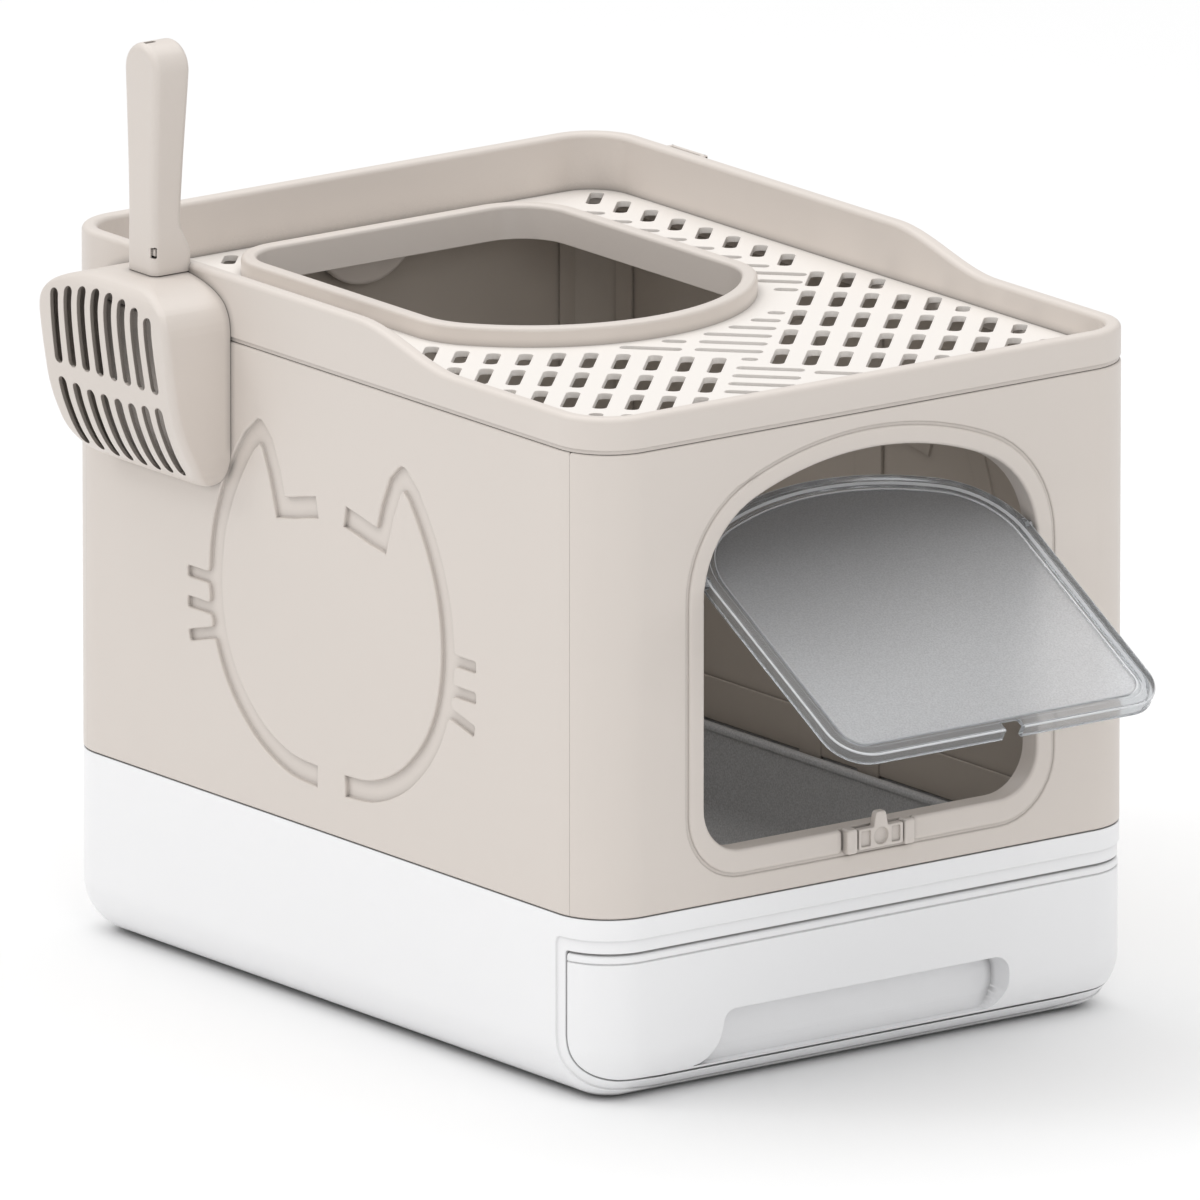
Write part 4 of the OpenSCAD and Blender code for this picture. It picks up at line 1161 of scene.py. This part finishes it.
# ------------------------------------------------------------------ deodoriser on the rear wall
def segment(r):
    h = 361.6 - 380.0
    a = math.degrees(math.asin(h / r))
    return [(14 + x, 380 + z) for x, z in arc(0, 0, r, 180 - a, 360 + a, 40)]


case = Part(along)
case.plate(segment(35.6), [], [(0, 239.2), (0, 247.2), (0.3, 248.0)])
add("deodoriser_case_shell", [case], "housing", ["deodoriser_case"], TRIM_IN)
cover = Part(along)
cover.plate(segment(37.0), [], [(2.6, 236.0), (1.2, 236.3), (0.35, 237.1), (0, 238.2), (0, 239.1)])
add("deodoriser_cover_shell", [cover], "housing", ["deodoriser_cover"], TRIM_IN)
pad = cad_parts["charcoal_pad"]
pad.data.materials.clear()
pad.data.materials.append(COAL)

# ------------------------------------------------------------------ studio
fm_ = bpy.data.materials.new("studio_floor")
fm_.use_nodes = True
fb = fm_.node_tree.nodes["Principled BSDF"]
fb.inputs["Base Color"].default_value = (0.915, 0.915, 0.915, 1)
fb.inputs["Roughness"].default_value = 0.9
fb.inputs["Specular IOR Level"].default_value = 0.1
me = bpy.data.meshes.new("studio_floor")
me.from_pydata([(-30, -30, 0), (30, -30, 0), (30, 30, 0), (-30, 30, 0)], [], [(0, 1, 2, 3)])
me.materials.append(fm_)
floor = bpy.data.objects.new("studio_floor", me)
bpy.context.scene.collection.objects.link(floor)

world = bpy.context.scene.world or bpy.data.worlds.new("studio")
bpy.context.scene.world = world
world.use_nodes = True
bg = world.node_tree.nodes.get("Background") or world.node_tree.nodes.new("ShaderNodeBackground")
bg.inputs["Color"].default_value = (1, 1, 1, 1)
bg.inputs["Strength"].default_value = 0.55


def area(name, loc, aim, size, power):
    l = bpy.data.lights.new(name, "AREA")
    l.shape = "RECTANGLE"
    l.size, l.size_y = size
    l.energy = power
    o = bpy.data.objects.new(name, l)
    bpy.context.scene.collection.objects.link(o)
    o.location = loc
    d = Vector(aim) - Vector(loc)
    o.rotation_euler = d.to_track_quat("-Z", "Y").to_euler()
    return o


area("overhead", (-0.3, 0.4, 6.0), (0, 0, 0.2), (10.0, 10.0), 376.0)
area("key_left", (-2.6, 1.9, 2.8), (0, 0, 0.2), (1.0, 1.0), 13.5)
area("fill_corner", (-1.6, -3.2, 1.8), (0, 0, 0.2), (1.3, 1.3), 11.0)

cam = bpy.data.cameras.new("camera")
cam.sensor_width = 36.0
cam.lens = 1077.5
cam.clip_start = 1.0
cam.clip_end = 200.0
co = bpy.data.objects.new("camera", cam)
bpy.context.scene.collection.objects.link(co)
az, el = math.radians(-36.679), math.radians(14.489)
back_v = Vector((math.sin(az) * math.cos(el), -math.cos(az) * math.cos(el), math.sin(el)))
right_v = Vector((math.cos(az), math.sin(az), 0.0))
up_v = back_v.cross(right_v)
co.matrix_world = Matrix.Translation(Vector((0, 0, 0.2)) + back_v * 20 + right_v * 0.000347 + up_v * 0.010944) @ Matrix((right_v, up_v, back_v)).transposed().to_4x4()
bpy.context.scene.camera = co
bpy.context.scene.view_settings.view_transform = "Standard"
